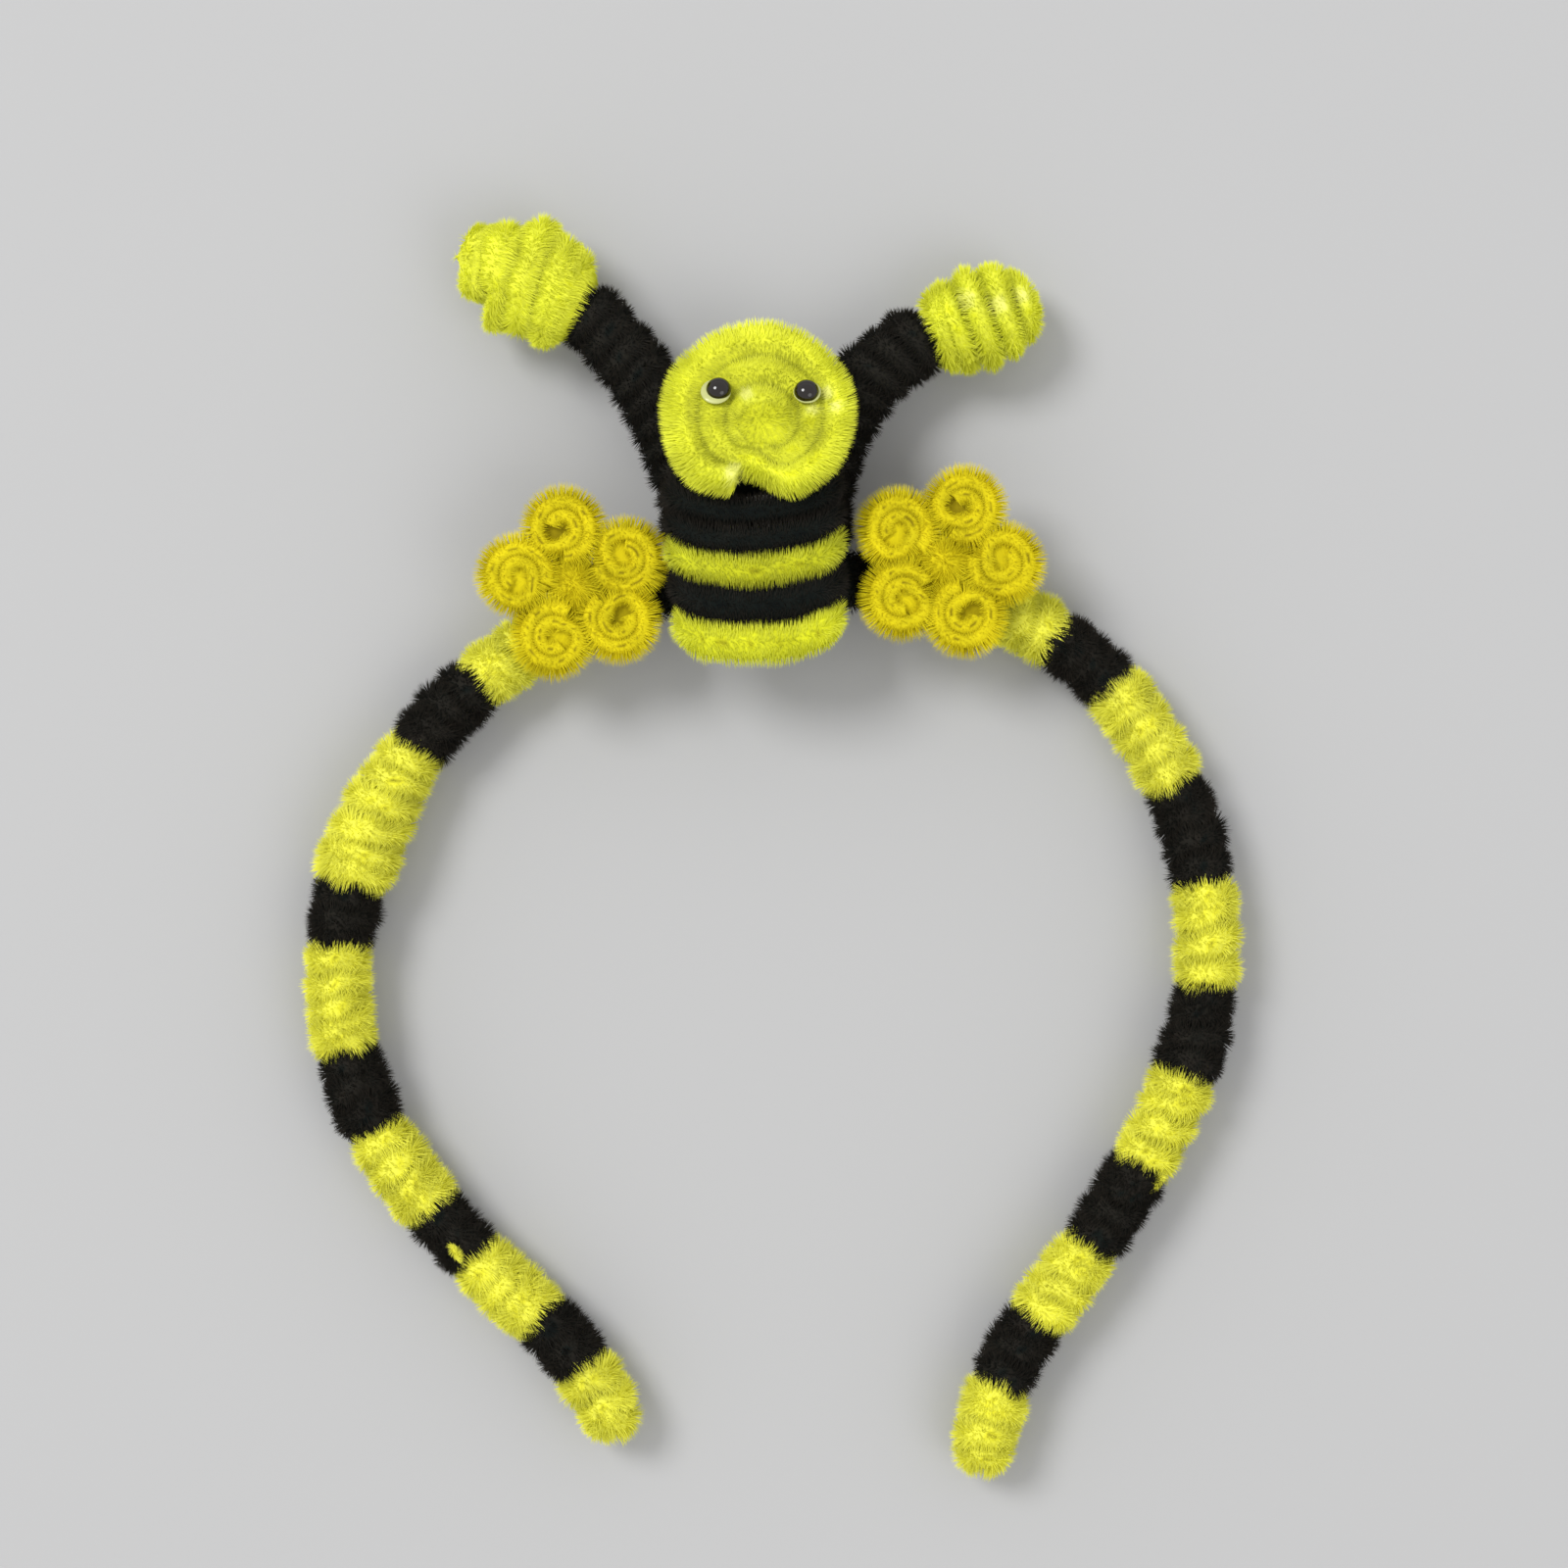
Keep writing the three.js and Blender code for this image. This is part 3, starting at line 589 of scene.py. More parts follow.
def pile_group() -> Tree:
    """Builds the Geometry Nodes group that grows fibres on a stem's body.

    Returns:
        The group. It leaves the fibres as real mesh and gives the whole piece the pile's map.
    """
    name = "grow_pile"
    if name in bpy.data.node_groups:
        return bpy.data.node_groups[name]
    tree = bpy.data.node_groups.new(name, "GeometryNodeTree")
    group_input(tree, "Geometry", "NodeSocketGeometry")
    group_input(tree, "Fibre", "NodeSocketObject")
    for size in ("Density", "Length", "Width", "Stray", "Clump"):
        group_input(tree, size, "NodeSocketFloat")
    group_input(tree, "Seed", "NodeSocketInt")
    tree.interface.new_socket("Geometry", in_out="OUTPUT", socket_type="NodeSocketGeometry")
    nodes, links = tree.nodes, tree.links
    given = nodes.new("NodeGroupInput").outputs
    result = nodes.new("NodeGroupOutput")
    seed = given["Seed"]

    tuft, hue = nodes.new("ShaderNodeTexNoise"), nodes.new("ShaderNodeTexNoise")
    tuft.inputs["Scale"].default_value = 1.0 / (3.2 * MM)
    hue.inputs["Scale"].default_value = 1.0 / (4.5 * MM)
    tuft.inputs["Detail"].default_value = hue.inputs["Detail"].default_value = 1.0
    patch = nodes.new("ShaderNodeMapRange")
    patch.inputs["From Min"].default_value = 0.28
    patch.inputs["From Max"].default_value = 0.72
    patch.inputs["To Min"].default_value = 0.44
    patch.inputs["To Max"].default_value = 0.94
    links.new(hue.outputs["Fac"], patch.inputs["Value"])
    # The tone is darkened by painted shade where a piece asks for it.
    tone = calculate(tree, "SUBTRACT", patch.outputs["Result"], attribute(nodes, "dim"))
    body = store(tree, "shade", "FLOAT", "POINT", tone, given["Geometry"])
    upright = nodes.new("GeometryNodeInputNormal").outputs["Normal"]
    body = store(tree, "upright", "FLOAT_VECTOR", "POINT", upright, body)
    scatter = nodes.new("GeometryNodeDistributePointsOnFaces")
    links.new(body, scatter.inputs["Mesh"])
    thick = calculate(tree, "MULTIPLY", given["Density"], attribute(nodes, "pile"))
    links.new(thick, scatter.inputs["Density"])
    links.new(seed, scatter.inputs["Seed"])
    own = chance(tree, "FLOAT", -0.04, 0.04, seed, 23)
    points = store(
        tree, "shade", "FLOAT", "POINT", calculate(tree, "ADD", attribute(nodes, "shade"), own),
        scatter.outputs["Points"],
    )
    lean = calculate(tree, "SUBTRACT", tuft.outputs["Color"], (0.5, 0.5, 0.5), vector=True)
    lean = scaled(tree, lean, given["Clump"])
    astray = scaled(
        tree, chance(tree, "FLOAT_VECTOR", (-1.0,) * 3, (1.0,) * 3, seed, 11), given["Stray"],
    )
    aim = calculate(tree, "ADD", attribute(nodes, "aim", "FLOAT_VECTOR"), lean, vector=True)
    stand = nodes.new("FunctionNodeAlignRotationToVector")
    stand.axis = "Z"
    links.new(calculate(tree, "ADD", aim, astray, vector=True), stand.inputs["Vector"])
    size = nodes.new("ShaderNodeCombineXYZ")
    tall = calculate(tree, "MULTIPLY", given["Length"], attribute(nodes, "reach"))
    tall = calculate(tree, "MULTIPLY", tall, chance(tree, "FLOAT", 0.75, 1.08, seed, 37))
    for side, value in (("X", given["Width"]), ("Y", given["Width"]), ("Z", tall)):
        links.new(value, size.inputs[side])
    pattern = nodes.new("GeometryNodeObjectInfo")
    links.new(given["Fibre"], pattern.inputs["Object"])
    plant = nodes.new("GeometryNodeInstanceOnPoints")
    links.new(points, plant.inputs["Points"])
    links.new(pattern.outputs["Geometry"], plant.inputs["Instance"])
    links.new(stand.outputs["Rotation"], plant.inputs["Rotation"])
    links.new(size.outputs["Vector"], plant.inputs["Scale"])
    real = nodes.new("GeometryNodeRealizeInstances")
    links.new(plant.outputs["Instances"], real.inputs["Geometry"])
    press = nodes.new("GeometryNodeSetPosition")
    links.new(real.outputs["Geometry"], press.inputs["Geometry"])
    lowest = (-1.0, -1.0, 0.1 * MM)
    found = nodes.new("GeometryNodeInputPosition").outputs["Position"]
    above = calculate(tree, "MAXIMUM", found, lowest, vector=True)
    links.new(above, press.inputs["Position"])
    join = nodes.new("GeometryNodeJoinGeometry")
    links.new(body, join.inputs["Geometry"])
    links.new(press.outputs["Geometry"], join.inputs["Geometry"])
    spot = nodes.new("ShaderNodeCombineXYZ")
    shaded = calculate(tree, "ADD", attribute(nodes, "shade"), attribute(nodes, "side"))
    links.new(shaded, spot.inputs["X"])
    # Y runs on from the tip towards pale pile: matted pile with painted sheen.
    level = calculate(tree, "MULTIPLY", attribute(nodes, "tip"), TIP_LEVEL)
    left = calculate(tree, "SUBTRACT", MATTED_AND_SHEEN_LEVEL, level)
    matted_and_sheen = calculate(tree, "MULTIPLY_ADD", attribute(nodes, "pale"), left, level)
    links.new(matted_and_sheen, spot.inputs["Y"])
    mapped = store(
        tree, PILE_MAP, "FLOAT2", "CORNER", spot.outputs["Vector"], join.outputs["Geometry"],
    )
    soften = nodes.new("GeometryNodeSetMeshNormal")
    soften.mode = "FREE"
    links.new(mapped, soften.inputs["Mesh"])
    links.new(attribute(nodes, "upright", "FLOAT_VECTOR"), soften.inputs["Custom Normal"])
    links.new(soften.outputs["Mesh"], result.inputs["Geometry"])
    return tree


def scaled(tree: Tree, vector: Socket, factor: Socket) -> Socket:
    """Scales a vector by a value in a node group."""
    node = tree.nodes.new("ShaderNodeVectorMath")
    node.operation = "SCALE"
    tree.links.new(vector, node.inputs["Vector"])
    tree.links.new(factor, node.inputs["Scale"])
    return node.outputs["Vector"]


def fibre_pattern() -> bpy.types.Object:
    """Makes the one fibre that all pile repeats: a closed three-sided spike, 1 unit tall."""
    mesh = bmesh.new()
    bmesh.ops.create_cone(mesh, cap_ends=True, segments=3, radius1=0.5, radius2=0.0, depth=1.0)
    bmesh.ops.translate(mesh, verts=mesh.verts, vec=(0.0, 0.0, 0.5))
    bmesh.ops.remove_doubles(mesh, verts=mesh.verts, dist=1e-5)
    tip, side = mesh.verts.layers.float.new("tip"), mesh.verts.layers.float.new("side")
    for vert in mesh.verts:
        # A fibre's foot starts darker than its tip: painted shade deep in the pile.
        vert[tip] = FIBRE_ROOT + (1.0 - FIBRE_ROOT) * vert.co.z
        vert[side] = 0.03 * vert.co.x
    data = bpy.data.meshes.new("fibre_pattern")
    mesh.to_mesh(data)
    mesh.free()
    return bpy.data.objects.new("fibre_pattern", data)


def lump(
    matrix: Matrix, radii: tuple[float, float, float], share: float = 0.0, bed_shade: float = 0.0,
    dim: float = 0.0,
) -> bmesh.types.BMesh:
    """Makes a small rounded body, bare or bearing pile.

    Args:
        matrix: its place in millimetres.
        radii: its half sizes.
        share: how thickly its pile stands, as a share of its growth's density.
        bed_shade: its painted shade, its place between the colours of the roots and of the tips.
        dim: how much darker than the rest it is, as painted shade.

    Returns:
        The body.
    """
    mesh = bmesh.new()
    bmesh.ops.create_icosphere(mesh, subdivisions=3, radius=1.0)
    layers = mesh.verts.layers
    pile, reach, tip, painted_shade_layer = (layers.float.new(name) for name in ("pile", "reach", "tip", "dim"))
    aim = layers.float_vector.new("aim")
    for vert in mesh.verts:
        vert[painted_shade_layer] = dim
        way = vert.co.copy()
        place = Vector([part * size for part, size in zip(way, radii)])
        place *= 1.0 + 0.12 * wobble(matrix @ place, 2.5, 9.0)
        vert.co = matrix @ place * MM
        vert[aim] = Vector((way.x, way.y, 0.4 * way.z))
        vert[pile] = vert[reach] = share
        vert[tip] = bed_shade
    return mesh


class PieceMaker:
    """Turns stem bodies into finished pieces that ride on the frame."""

    def __init__(self) -> None:
        """Makes the fibre that the pile repeats."""
        self.fibre = fibre_pattern()
        self.made = 0
        self.triangles = 0

    def place(
        self, name: str, mesh: bmesh.types.BMesh, material: bpy.types.Material,
    ) -> bpy.types.Object:
        """Makes a plain object of a mesh, smooth shaded, with its place in its mesh."""
        data = bpy.data.meshes.new(name)
        mesh.to_mesh(data)
        mesh.free()
        data.materials.append(material)
        data.shade_smooth()
        return show(name, data)

    def finish(self, piece: bpy.types.Object, slot: str, *nodes: str) -> bpy.types.Object:
        """Rides a piece on the frame in place of its nodes, and reports it."""
        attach(piece, "root")
        if nodes:
            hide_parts(*nodes)
        faces = sum(len(face.vertices) - 2 for face in piece.data.polygons)
        self.triangles += faces
        LOG.info("%s: %d triangles", piece.name, faces)
        return piece

    def chenille(self, name: str, bodies: list[bmesh.types.BMesh], colour: Colour,
                 growth: Growth, *nodes: str) -> bpy.types.Object:
        """Grows pile on stem bodies and makes them one piece.

        Args:
            name: the piece's name.
            bodies: the bodies of its stems, placed, with their pile shares.
            colour: the stems.
            growth: how their fibres grow.
            *nodes: the solids that the piece stands for.

        Returns:
            The finished piece.
        """
        finish = FINISHES[colour]
        whole = bmesh.new()
        for body in bodies:
            part = bpy.data.meshes.new("part")
            body.to_mesh(part)
            body.free()
            whole.from_mesh(part)
            bpy.data.meshes.remove(part)
        piece = self.place(name, whole, finish.material())
        self.made += 1
        grow = piece.modifiers.new("pile", "NODES")
        grow.node_group = pile_group()
        settings = {
            "Fibre": self.fibre,
            "Density": growth.density / MM ** 2,
            "Length": growth.length * MM,
            "Width": growth.width * MM,
            "Stray": growth.stray,
            "Clump": growth.clump,
            "Seed": 100 * self.made,
        }
        for item in grow.node_group.interface.items_tree:
            if item.in_out == "INPUT" and item.name in settings:
                grow[item.identifier] = settings[item.name]
        bpy.context.view_layer.update()
        graph = bpy.context.evaluated_depsgraph_get()
        grown = bpy.data.meshes.new_from_object(piece.evaluated_get(graph), depsgraph=graph)
        piece.modifiers.clear()
        piece.data = grown
        grown.name = name
        for left in SPENT_LAYERS:
            if left in grown.attributes:
                grown.attributes.remove(grown.attributes[left])
        grown.materials.clear()
        grown.materials.append(finish.material())
        return self.finish(piece, finish.slot, *nodes)


# Sub-assemblies


@dataclass(frozen=True)
class Stripe:
    """One colour of the hoop's winding, up to a share of its side's length."""

    name: str
    colour: Colour
    end: float
    plump: float = 0.0
    fullest: float = 0.5


def stripes(side: str, *rows: tuple[float, ...]) -> tuple[Stripe, ...]:
    """Names a side's stripes from the crown to the tip, yellow and black by turns."""
    made = []
    for index, row in enumerate(rows):
        colour = (Colour.YELLOW, Colour.BLACK)[index % 2]
        made.append(Stripe(f"{side}_{colour.value}_{index // 2 + 1}", colour, *row))
    return tuple(made)


@dataclass
class Hoop:
    """The plastic hoop and the stripes wound over it."""

    pitch: float = 4.9
    tip_dome: float = 6.5
    pile: float = 1.4
    left_crown: float = 0.155
    right_crown: float = 0.14
    left_stripes: tuple[Stripe, ...] = stripes(
        "left", (0.262,), (0.339, 0.35), (0.463, 1.3, 0.2), (0.517, 0.8), (0.607,), (0.677, 0.45),
        (0.756, 0.2), (0.811,), (0.882,), (0.934, 0.3), (1.0,),
    )
    right_stripes: tuple[Stripe, ...] = stripes(
        "right", (0.237,), (0.3,), (0.394,), (0.477, 0.3), (0.559,), (0.633, 0.6, 0.9), (0.716,),
        (0.793, 0.3), (0.866,), (0.927, 0.3), (1.0,),
    )

    def build(self, maker: PieceMaker) -> None:
        """Builds and dresses the whole hoop."""
        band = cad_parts["hoop_band"]
        band.data.materials.clear()
        band.data.materials.append(PLASTIC.material())
        left, right = -self.left_crown * LEFT_LENGTH, self.right_crown * RIGHT_LENGTH
        self.wind(maker, Stripe("crown_winding", Colour.BLACK, right), left, right)
        start = left
        for stripe in self.left_stripes:
            end = self.pile / 2.0 * (stripe.end == 1.0) - stripe.end * LEFT_LENGTH
            self.wind(maker, stripe, end, start)
            start = end
        start = right
        for stripe in self.right_stripes:
            end = stripe.end * RIGHT_LENGTH - self.pile / 2.0 * (stripe.end == 1.0)
            self.wind(maker, stripe, start, end)
            start = end

    def wind(self, maker: PieceMaker, stripe: Stripe, low: float, high: float) -> None:
        """Winds one stripe between two stations of the hoop.

        Args:
            maker: makes the piece.
            stripe: the stripe.
            low: its lower station.
            high: its upper station.
        """
        stem = BLACK_STEM if stripe.colour is Colour.BLACK else YELLOW_STEM
        half = (stem - self.pile) / 2.0
        middle = [side + half for side in BAND_HALF]
        turns = max(2, round((high - low) / self.pitch)) + 1
        ends = 0.47 * self.pitch
        seed = low % 17.0
        body = wind_tube(turns, half, 12, 24)

        def reshape(point: TubePoint) -> Place:
            """Lays the winding over the band and domes it at a tip."""
            run = wound_share(point, turns)
            station = low + ends + (high - low - 2.0 * ends) * run
            station += point.along * ends / half
            around = Vector((station, 6.0 * math.cos(point.angle), 6.0 * math.sin(point.angle)))
            station += 1.3 * wobble(around, 4.5, seed)
            to_tip = min(station + LEFT_LENGTH, RIGHT_LENGTH - station, self.tip_dome)
            past = 1.0 - max(0.0, to_tip) / self.tip_dome
            taper = math.sqrt(1.0 - (0.94 * past) ** 2)
            place, outwards, _ = HOOP.at(station)
            tip_shift = 1.7 * smooth(-155.0, -LEFT_LENGTH, station)
            place.x += 0.3 * smooth(-50.0, -75.0, station) + tip_shift
            out = point.out + 0.25 * wobble(place, 4.0, seed + point.angle)
            out += 0.5 * wobble(around, 2.6, seed + 5.0)
            out += stripe.plump * smooth(0.9, 0.0, abs(run - stripe.fullest))
            across = (middle[0] + out) * taper * math.cos(point.angle)
            deep = (middle[1] + out) * taper * math.sin(point.angle)
            place = place + outwards * across + UP * deep
            place.z = max(place.z, 0.5)
            share = smooth(-0.4, 0.1, point.out / half)
            return place, share, 1.0 + 0.3 * wobble(place, 3.0, seed)

        growth = HIDDEN if stripe.name == "crown_winding" else TOUSLED
        reshape_tube(body, reshape, growth, lay=0.8)
        maker.chenille(f"{stripe.name}_pile", [body], stripe.colour, growth, stripe.name)


@dataclass
class Antenna:
    """A wound stalk that leaves the crown's outer edge, and the wound ball at its end."""

    name: str
    side: int
    station: float
    length: float
    radius: float
    bends: tuple[Bend, ...]
    ball_length: float
    ball_radius: float
    ball_cant: float
    ball_turn: float
    ball_lumps: float
    ball_depth: float
    ball_fill: float
    thicken: float
    stalk_shift: tuple[float, float]
    ball_shift: tuple[float, float]
    ball_lobes: tuple[tuple[float, float, float], ...]
    matted_and_sheen: tuple[Patch, ...] = ()
    root_height: float = 9.3
    pitch: float = 4.2
    ball_pitch: float = 4.6
    girth: tuple[tuple[float, float], ...] = (
        (0.0, 0.74), (0.2, 0.94), (0.45, 1.0), (0.7, 0.93), (0.88, 0.68), (1.0, 0.3),
    )

    def routes(self) -> tuple[Route, Route]:
        """Gives the middle lines of the stalk and of the ball."""
        crown, outwards, _ = HOOP.at(self.side * self.station)
        start = crown + outwards * (BAND_HALF[0] + BLACK_STEM + SEAM)
        start.z = self.root_height
        rise = self.ball_radius - REST_FLAT - self.root_height
        stalk = Route(start, math.pi / 2.0, self.bends, self.length, rise=rise)
        _, _, heading = stalk.at(self.length)
        seat, _, _ = stalk.at(self.length + SEAM)
        bend = (Bend(1.0, self.ball_turn),)
        return stalk, Route(seat, heading + math.radians(self.ball_cant), bend, self.ball_length)

    def stalk_girth(self, share: float) -> float:
        """Gives the stalk's outer radius at a share of its length."""
        return self.radius + self.thicken * smooth(0.1, 0.45, share) * (1.2 - 0.5 * share)

    def ball_girth(self, share: float) -> float:
        """Gives the ball's girth at a share of its length, as a share of its radius."""
        share = min(1.0, max(0.0, share))
        for (low, before), (high, after) in zip(self.girth, self.girth[1:]):
            if share <= high:
                return before + (after - before) * smooth(low, high, share)
        return self.girth[-1][1]

    def build(self, maker: PieceMaker) -> None:
        """Builds and dresses the stalk and the ball."""
        stalk, ball = self.routes()
        self.wind(
            maker, "stalk", Colour.BLACK, stalk, self.pitch,
            self.stalk_girth, 0.0, 1.3, 0.47, self.stalk_shift,
        )
        self.wind(
            maker, "ball", Colour.LEMON, ball, self.ball_pitch,
            lambda share: self.ball_radius * self.ball_girth(share), self.ball_lumps,
            self.ball_depth, self.ball_fill, self.ball_shift,
        )

    def wind(self, maker: PieceMaker, part: str, colour: Colour, route: Route, pitch: float,
             girth: Callable[[float], float], lumps: float, depth: float, fill: float,
             shift: tuple[float, float]) -> None:
        """Winds one stem along a route.

        Args:
            maker: makes the piece.
            part: the piece's name after the antenna's.
            colour: its stem.
            route: the middle line.
            pitch: the stem's advance a turn.
            girth: gives the outer radius at a share of the length.
            lumps: how far the winding bulges in and out.
            depth: half the depth of its turns.
            fill: half the width of a turn's body, as a share of the pitch.
            shift: how far the pile is combed right and up.
        """
        turns = round(route.length / pitch) + 1
        half = 1.5
        ends = pitch * 0.47
        pile = 1.4
        combed = Vector((*shift, 0.0))
        body = wind_tube(turns, half, 12, 28)
        seed = self.station + turns
        heart = route.at(route.length / 2.0)[0] + combed

        def reshape(point: TubePoint) -> Place:
            """Lays the winding round its route."""
            run = wound_share(point, turns)
            station = ends + (route.length - 2.0 * ends) * run + point.along * pitch * fill / half
            middle, across, _ = route.at(station)
            radius = girth(station / route.length) - pile - depth
            spoke = across * math.cos(point.angle) + UP * math.sin(point.angle)
            bulge = lumps * wobble(middle + spoke * radius, 6.5, seed)
            bulge += 0.25 * wobble(middle + spoke * radius, 3.0, seed)
            place = middle + spoke * (radius + point.out * depth / half + bulge) + combed
            if part == "ball":
                place += self.lobe(place - heart)
            place.z = max(place.z, 0.5)
            share = smooth(-0.4, 0.1, point.out / half)
            return place, share, 0.95 + 0.3 * wobble(place, 3.0, seed)

        reshape_tube(body, reshape, WOUND, lay=0.7, matted_and_sheen=self.matted_and_sheen)
        node = f"{self.name}_{part}"
        # The core bears no pile and takes the root's colour: painted shade between the turns.
        bodies = [body, self.core(route, girth, lumps)]
        maker.chenille(f"{node}_pile", bodies, colour, WOUND, node)

    def lobe(self, away: Vector) -> Vector:
        """Finds how far the ball's lobes and notches push a place away from its heart."""
        turned = math.degrees(math.atan2(away.y, away.x))
        push = Vector((0.0, 0.0, 0.0))
        flat = Vector((away.x, away.y, 0.0))
        for angle, reach, half in self.ball_lobes:
            aside = abs((turned - angle + 180.0) % 360.0 - 180.0)
            push += flat / self.ball_radius * reach * smooth(half, 0.0, aside)
        return push

    def core(
        self, route: Route, girth: Callable[[float], float], lumps: float,
    ) -> bmesh.types.BMesh:
        """Makes the plain closed core that the winding lies on."""
        mesh = bmesh.new()
        bmesh.ops.create_cone(
            mesh, cap_ends=True, segments=16, radius1=1.0, radius2=1.0, depth=route.length,
        )
        bmesh.ops.translate(mesh, verts=mesh.verts, vec=(0.0, 0.0, route.length / 2.0))
        long = [edge for edge in mesh.edges if abs(edge.verts[0].co.z - edge.verts[1].co.z) > 1.0]
        bmesh.ops.subdivide_edges(mesh, edges=long, cuts=12, use_grid_fill=True)
        for vert in mesh.verts:
            station = 1.0 + vert.co.z * (route.length - 2.0) / route.length
            radius = max(0.8, girth(station / route.length) - 3.4 - lumps)
            middle, across, _ = route.at(station)
            vert.co = (middle + (across * vert.co.x + UP * vert.co.y) * radius) * MM
        bmesh.ops.recalc_face_normals(mesh, faces=mesh.faces)
        return mesh


@dataclass(frozen=True)
class Loop:
    """One loop of the bee's body: its length and width as shares of the body's."""

    name: str
    colour: Colour
    length: float
    width: float
    stems: int = 1
    dim: float = 0.0


@dataclass
class Body:
    """Four loops of stem laid side by side in front of the crown."""

    width: float = 29.6
    depth: float = 11.6
    bulge: float = 1.0
    stem: float = 5.7
    tilt: float = 9.0
    yaw: float = 3.0
    sag: float = 3.4
    shift: float = -1.95
    reach: float = 17.4
    length: float = 25.9
    pile: float = 1.4
    # Painted shade darkens the yellow loops, the top one most, where it lies under the head.
    loops: tuple[Loop, ...] = (
        Loop("body_black_1", Colour.BLACK, 0.336, 1.0, stems=2),
        Loop("body_yellow_1", Colour.LEMON, 0.199, 1.0, dim=0.6),
        Loop("body_black_2", Colour.BLACK, 0.228, 0.985),
        Loop("body_yellow_2", Colour.LEMON, 0.237, 0.96, dim=0.2),
    )

    def middle(self) -> Vector:
        """Gives the body's middle, held off the crown's front by the tilt of its axis."""
        tilt = math.radians(self.tilt)
        across, deep = (side + BLACK_STEM for side in BAND_HALF)
        lift = math.hypot(across * math.sin(tilt), deep * math.cos(tilt)) + SEAM + self.depth / 2.0
        crown, _, _ = HOOP.at(0.0)
        return crown + Vector((0.0, -lift * math.sin(tilt), lift * math.cos(tilt)))

    def line(self, angle: float, width: float) -> tuple[Vector, Vector]:
        """Finds a point of the flat oval that a loop follows.

        Args:
            angle: the angle round the loop, from its right end over its front.
            width: the loop's width as a share of the body's.

        Returns:
            The point and the way out from it, in the body's own directions.
        """
        front = max(0.0, math.sin(angle))
        spine = min(1.0, max(-1.0, math.sqrt(2.0) * math.cos(angle)))
        if abs(spine) == 1.0:
            end = math.copysign(1.0, math.cos(angle))
            out = Vector((end * math.cos(2.0 * angle), 0.0, end * math.sin(2.0 * angle)))
        else:
            out = Vector((0.0, 0.0, math.copysign(1.0, math.sin(angle))))
        point = out * (self.depth - self.stem) / 2.0
        point.x += spine * (self.width * width - self.depth) / 2.0
        point.y -= self.sag * front
        point.z += self.bulge * (1.0 - spine ** 2) if front > 0.0 else 0.0
        return point, out

    def support(self, turned: float) -> float:
        """Finds how far the top loop stands out along a direction turned from front to top."""
        loop = self.loops[0]
        length = loop.length * self.length
        round_off = math.hypot(length / 2.0 * math.sin(turned), self.stem / 2.0 * math.cos(turned))
        stands = []
        for step in range(16):
            point, _ = self.line(2.0 * math.pi * step / 16, loop.width)
            along = self.reach - length / 2.0 + point.y
            stands.append(along * math.sin(turned) + point.z * math.cos(turned) + round_off)
        return max(stands)

    def build(self, maker: PieceMaker) -> None:
        """Builds and dresses the loops from the head down."""
        matrix = (
            Matrix.Translation(self.middle() + Vector((self.shift, 0.0, 0.0)))
            @ Matrix.Rotation(math.radians(self.yaw), 4, "Z")
            @ Matrix.Rotation(math.radians(self.tilt), 4, "X")
        )
        top = self.reach
        for loop in self.loops:
            length = loop.length * self.length
            each = length / loop.stems
            bodies = [
                self.stem_ring(matrix, loop, top - each * (index + 0.5), each)
                for index in range(loop.stems)
            ]
            top -= length
            maker.chenille(f"{loop.name}_pile", bodies, loop.colour, BANDED, loop.name)

    def stem_ring(
        self, matrix: Matrix, loop: Loop, height: float, length: float,
    ) -> bmesh.types.BMesh:
        """Bends one stem of a loop round the body.

        Args:
            matrix: places the body.
            loop: the loop.
            height: the stem's place along the body's axis.
            length: its width along that axis.

        Returns:
            The stem's body.
        """
        half = 2.0
        ring = wind_tube(1.0, half, 14, 96, closed=True)

        def reshape(point: TubePoint) -> Place:
            """Lays the ring round the loop's oval."""
            place, out = self.line(point.angle, loop.width)
            place = place + out * point.out * (self.stem / 2.0 - self.pile) / half
            place.y += height + point.along * (length / 2.0 - 0.55) / half
            place.z += 0.25 * wobble(place, 4.0, height)
            place.y += 0.3 * wobble(place, 5.0, height + 3.0)
            share = smooth(-0.5, 0.1, point.out / half)
            return matrix @ place, share, 0.85 + 0.3 * wobble(place, 2.5, height)

        facing = (matrix.to_3x3() @ UP).normalized()
        reshape_tube(ring, reshape, BANDED, facing=facing, lay=0.3, closed=True, dim=loop.dim)
        return ring


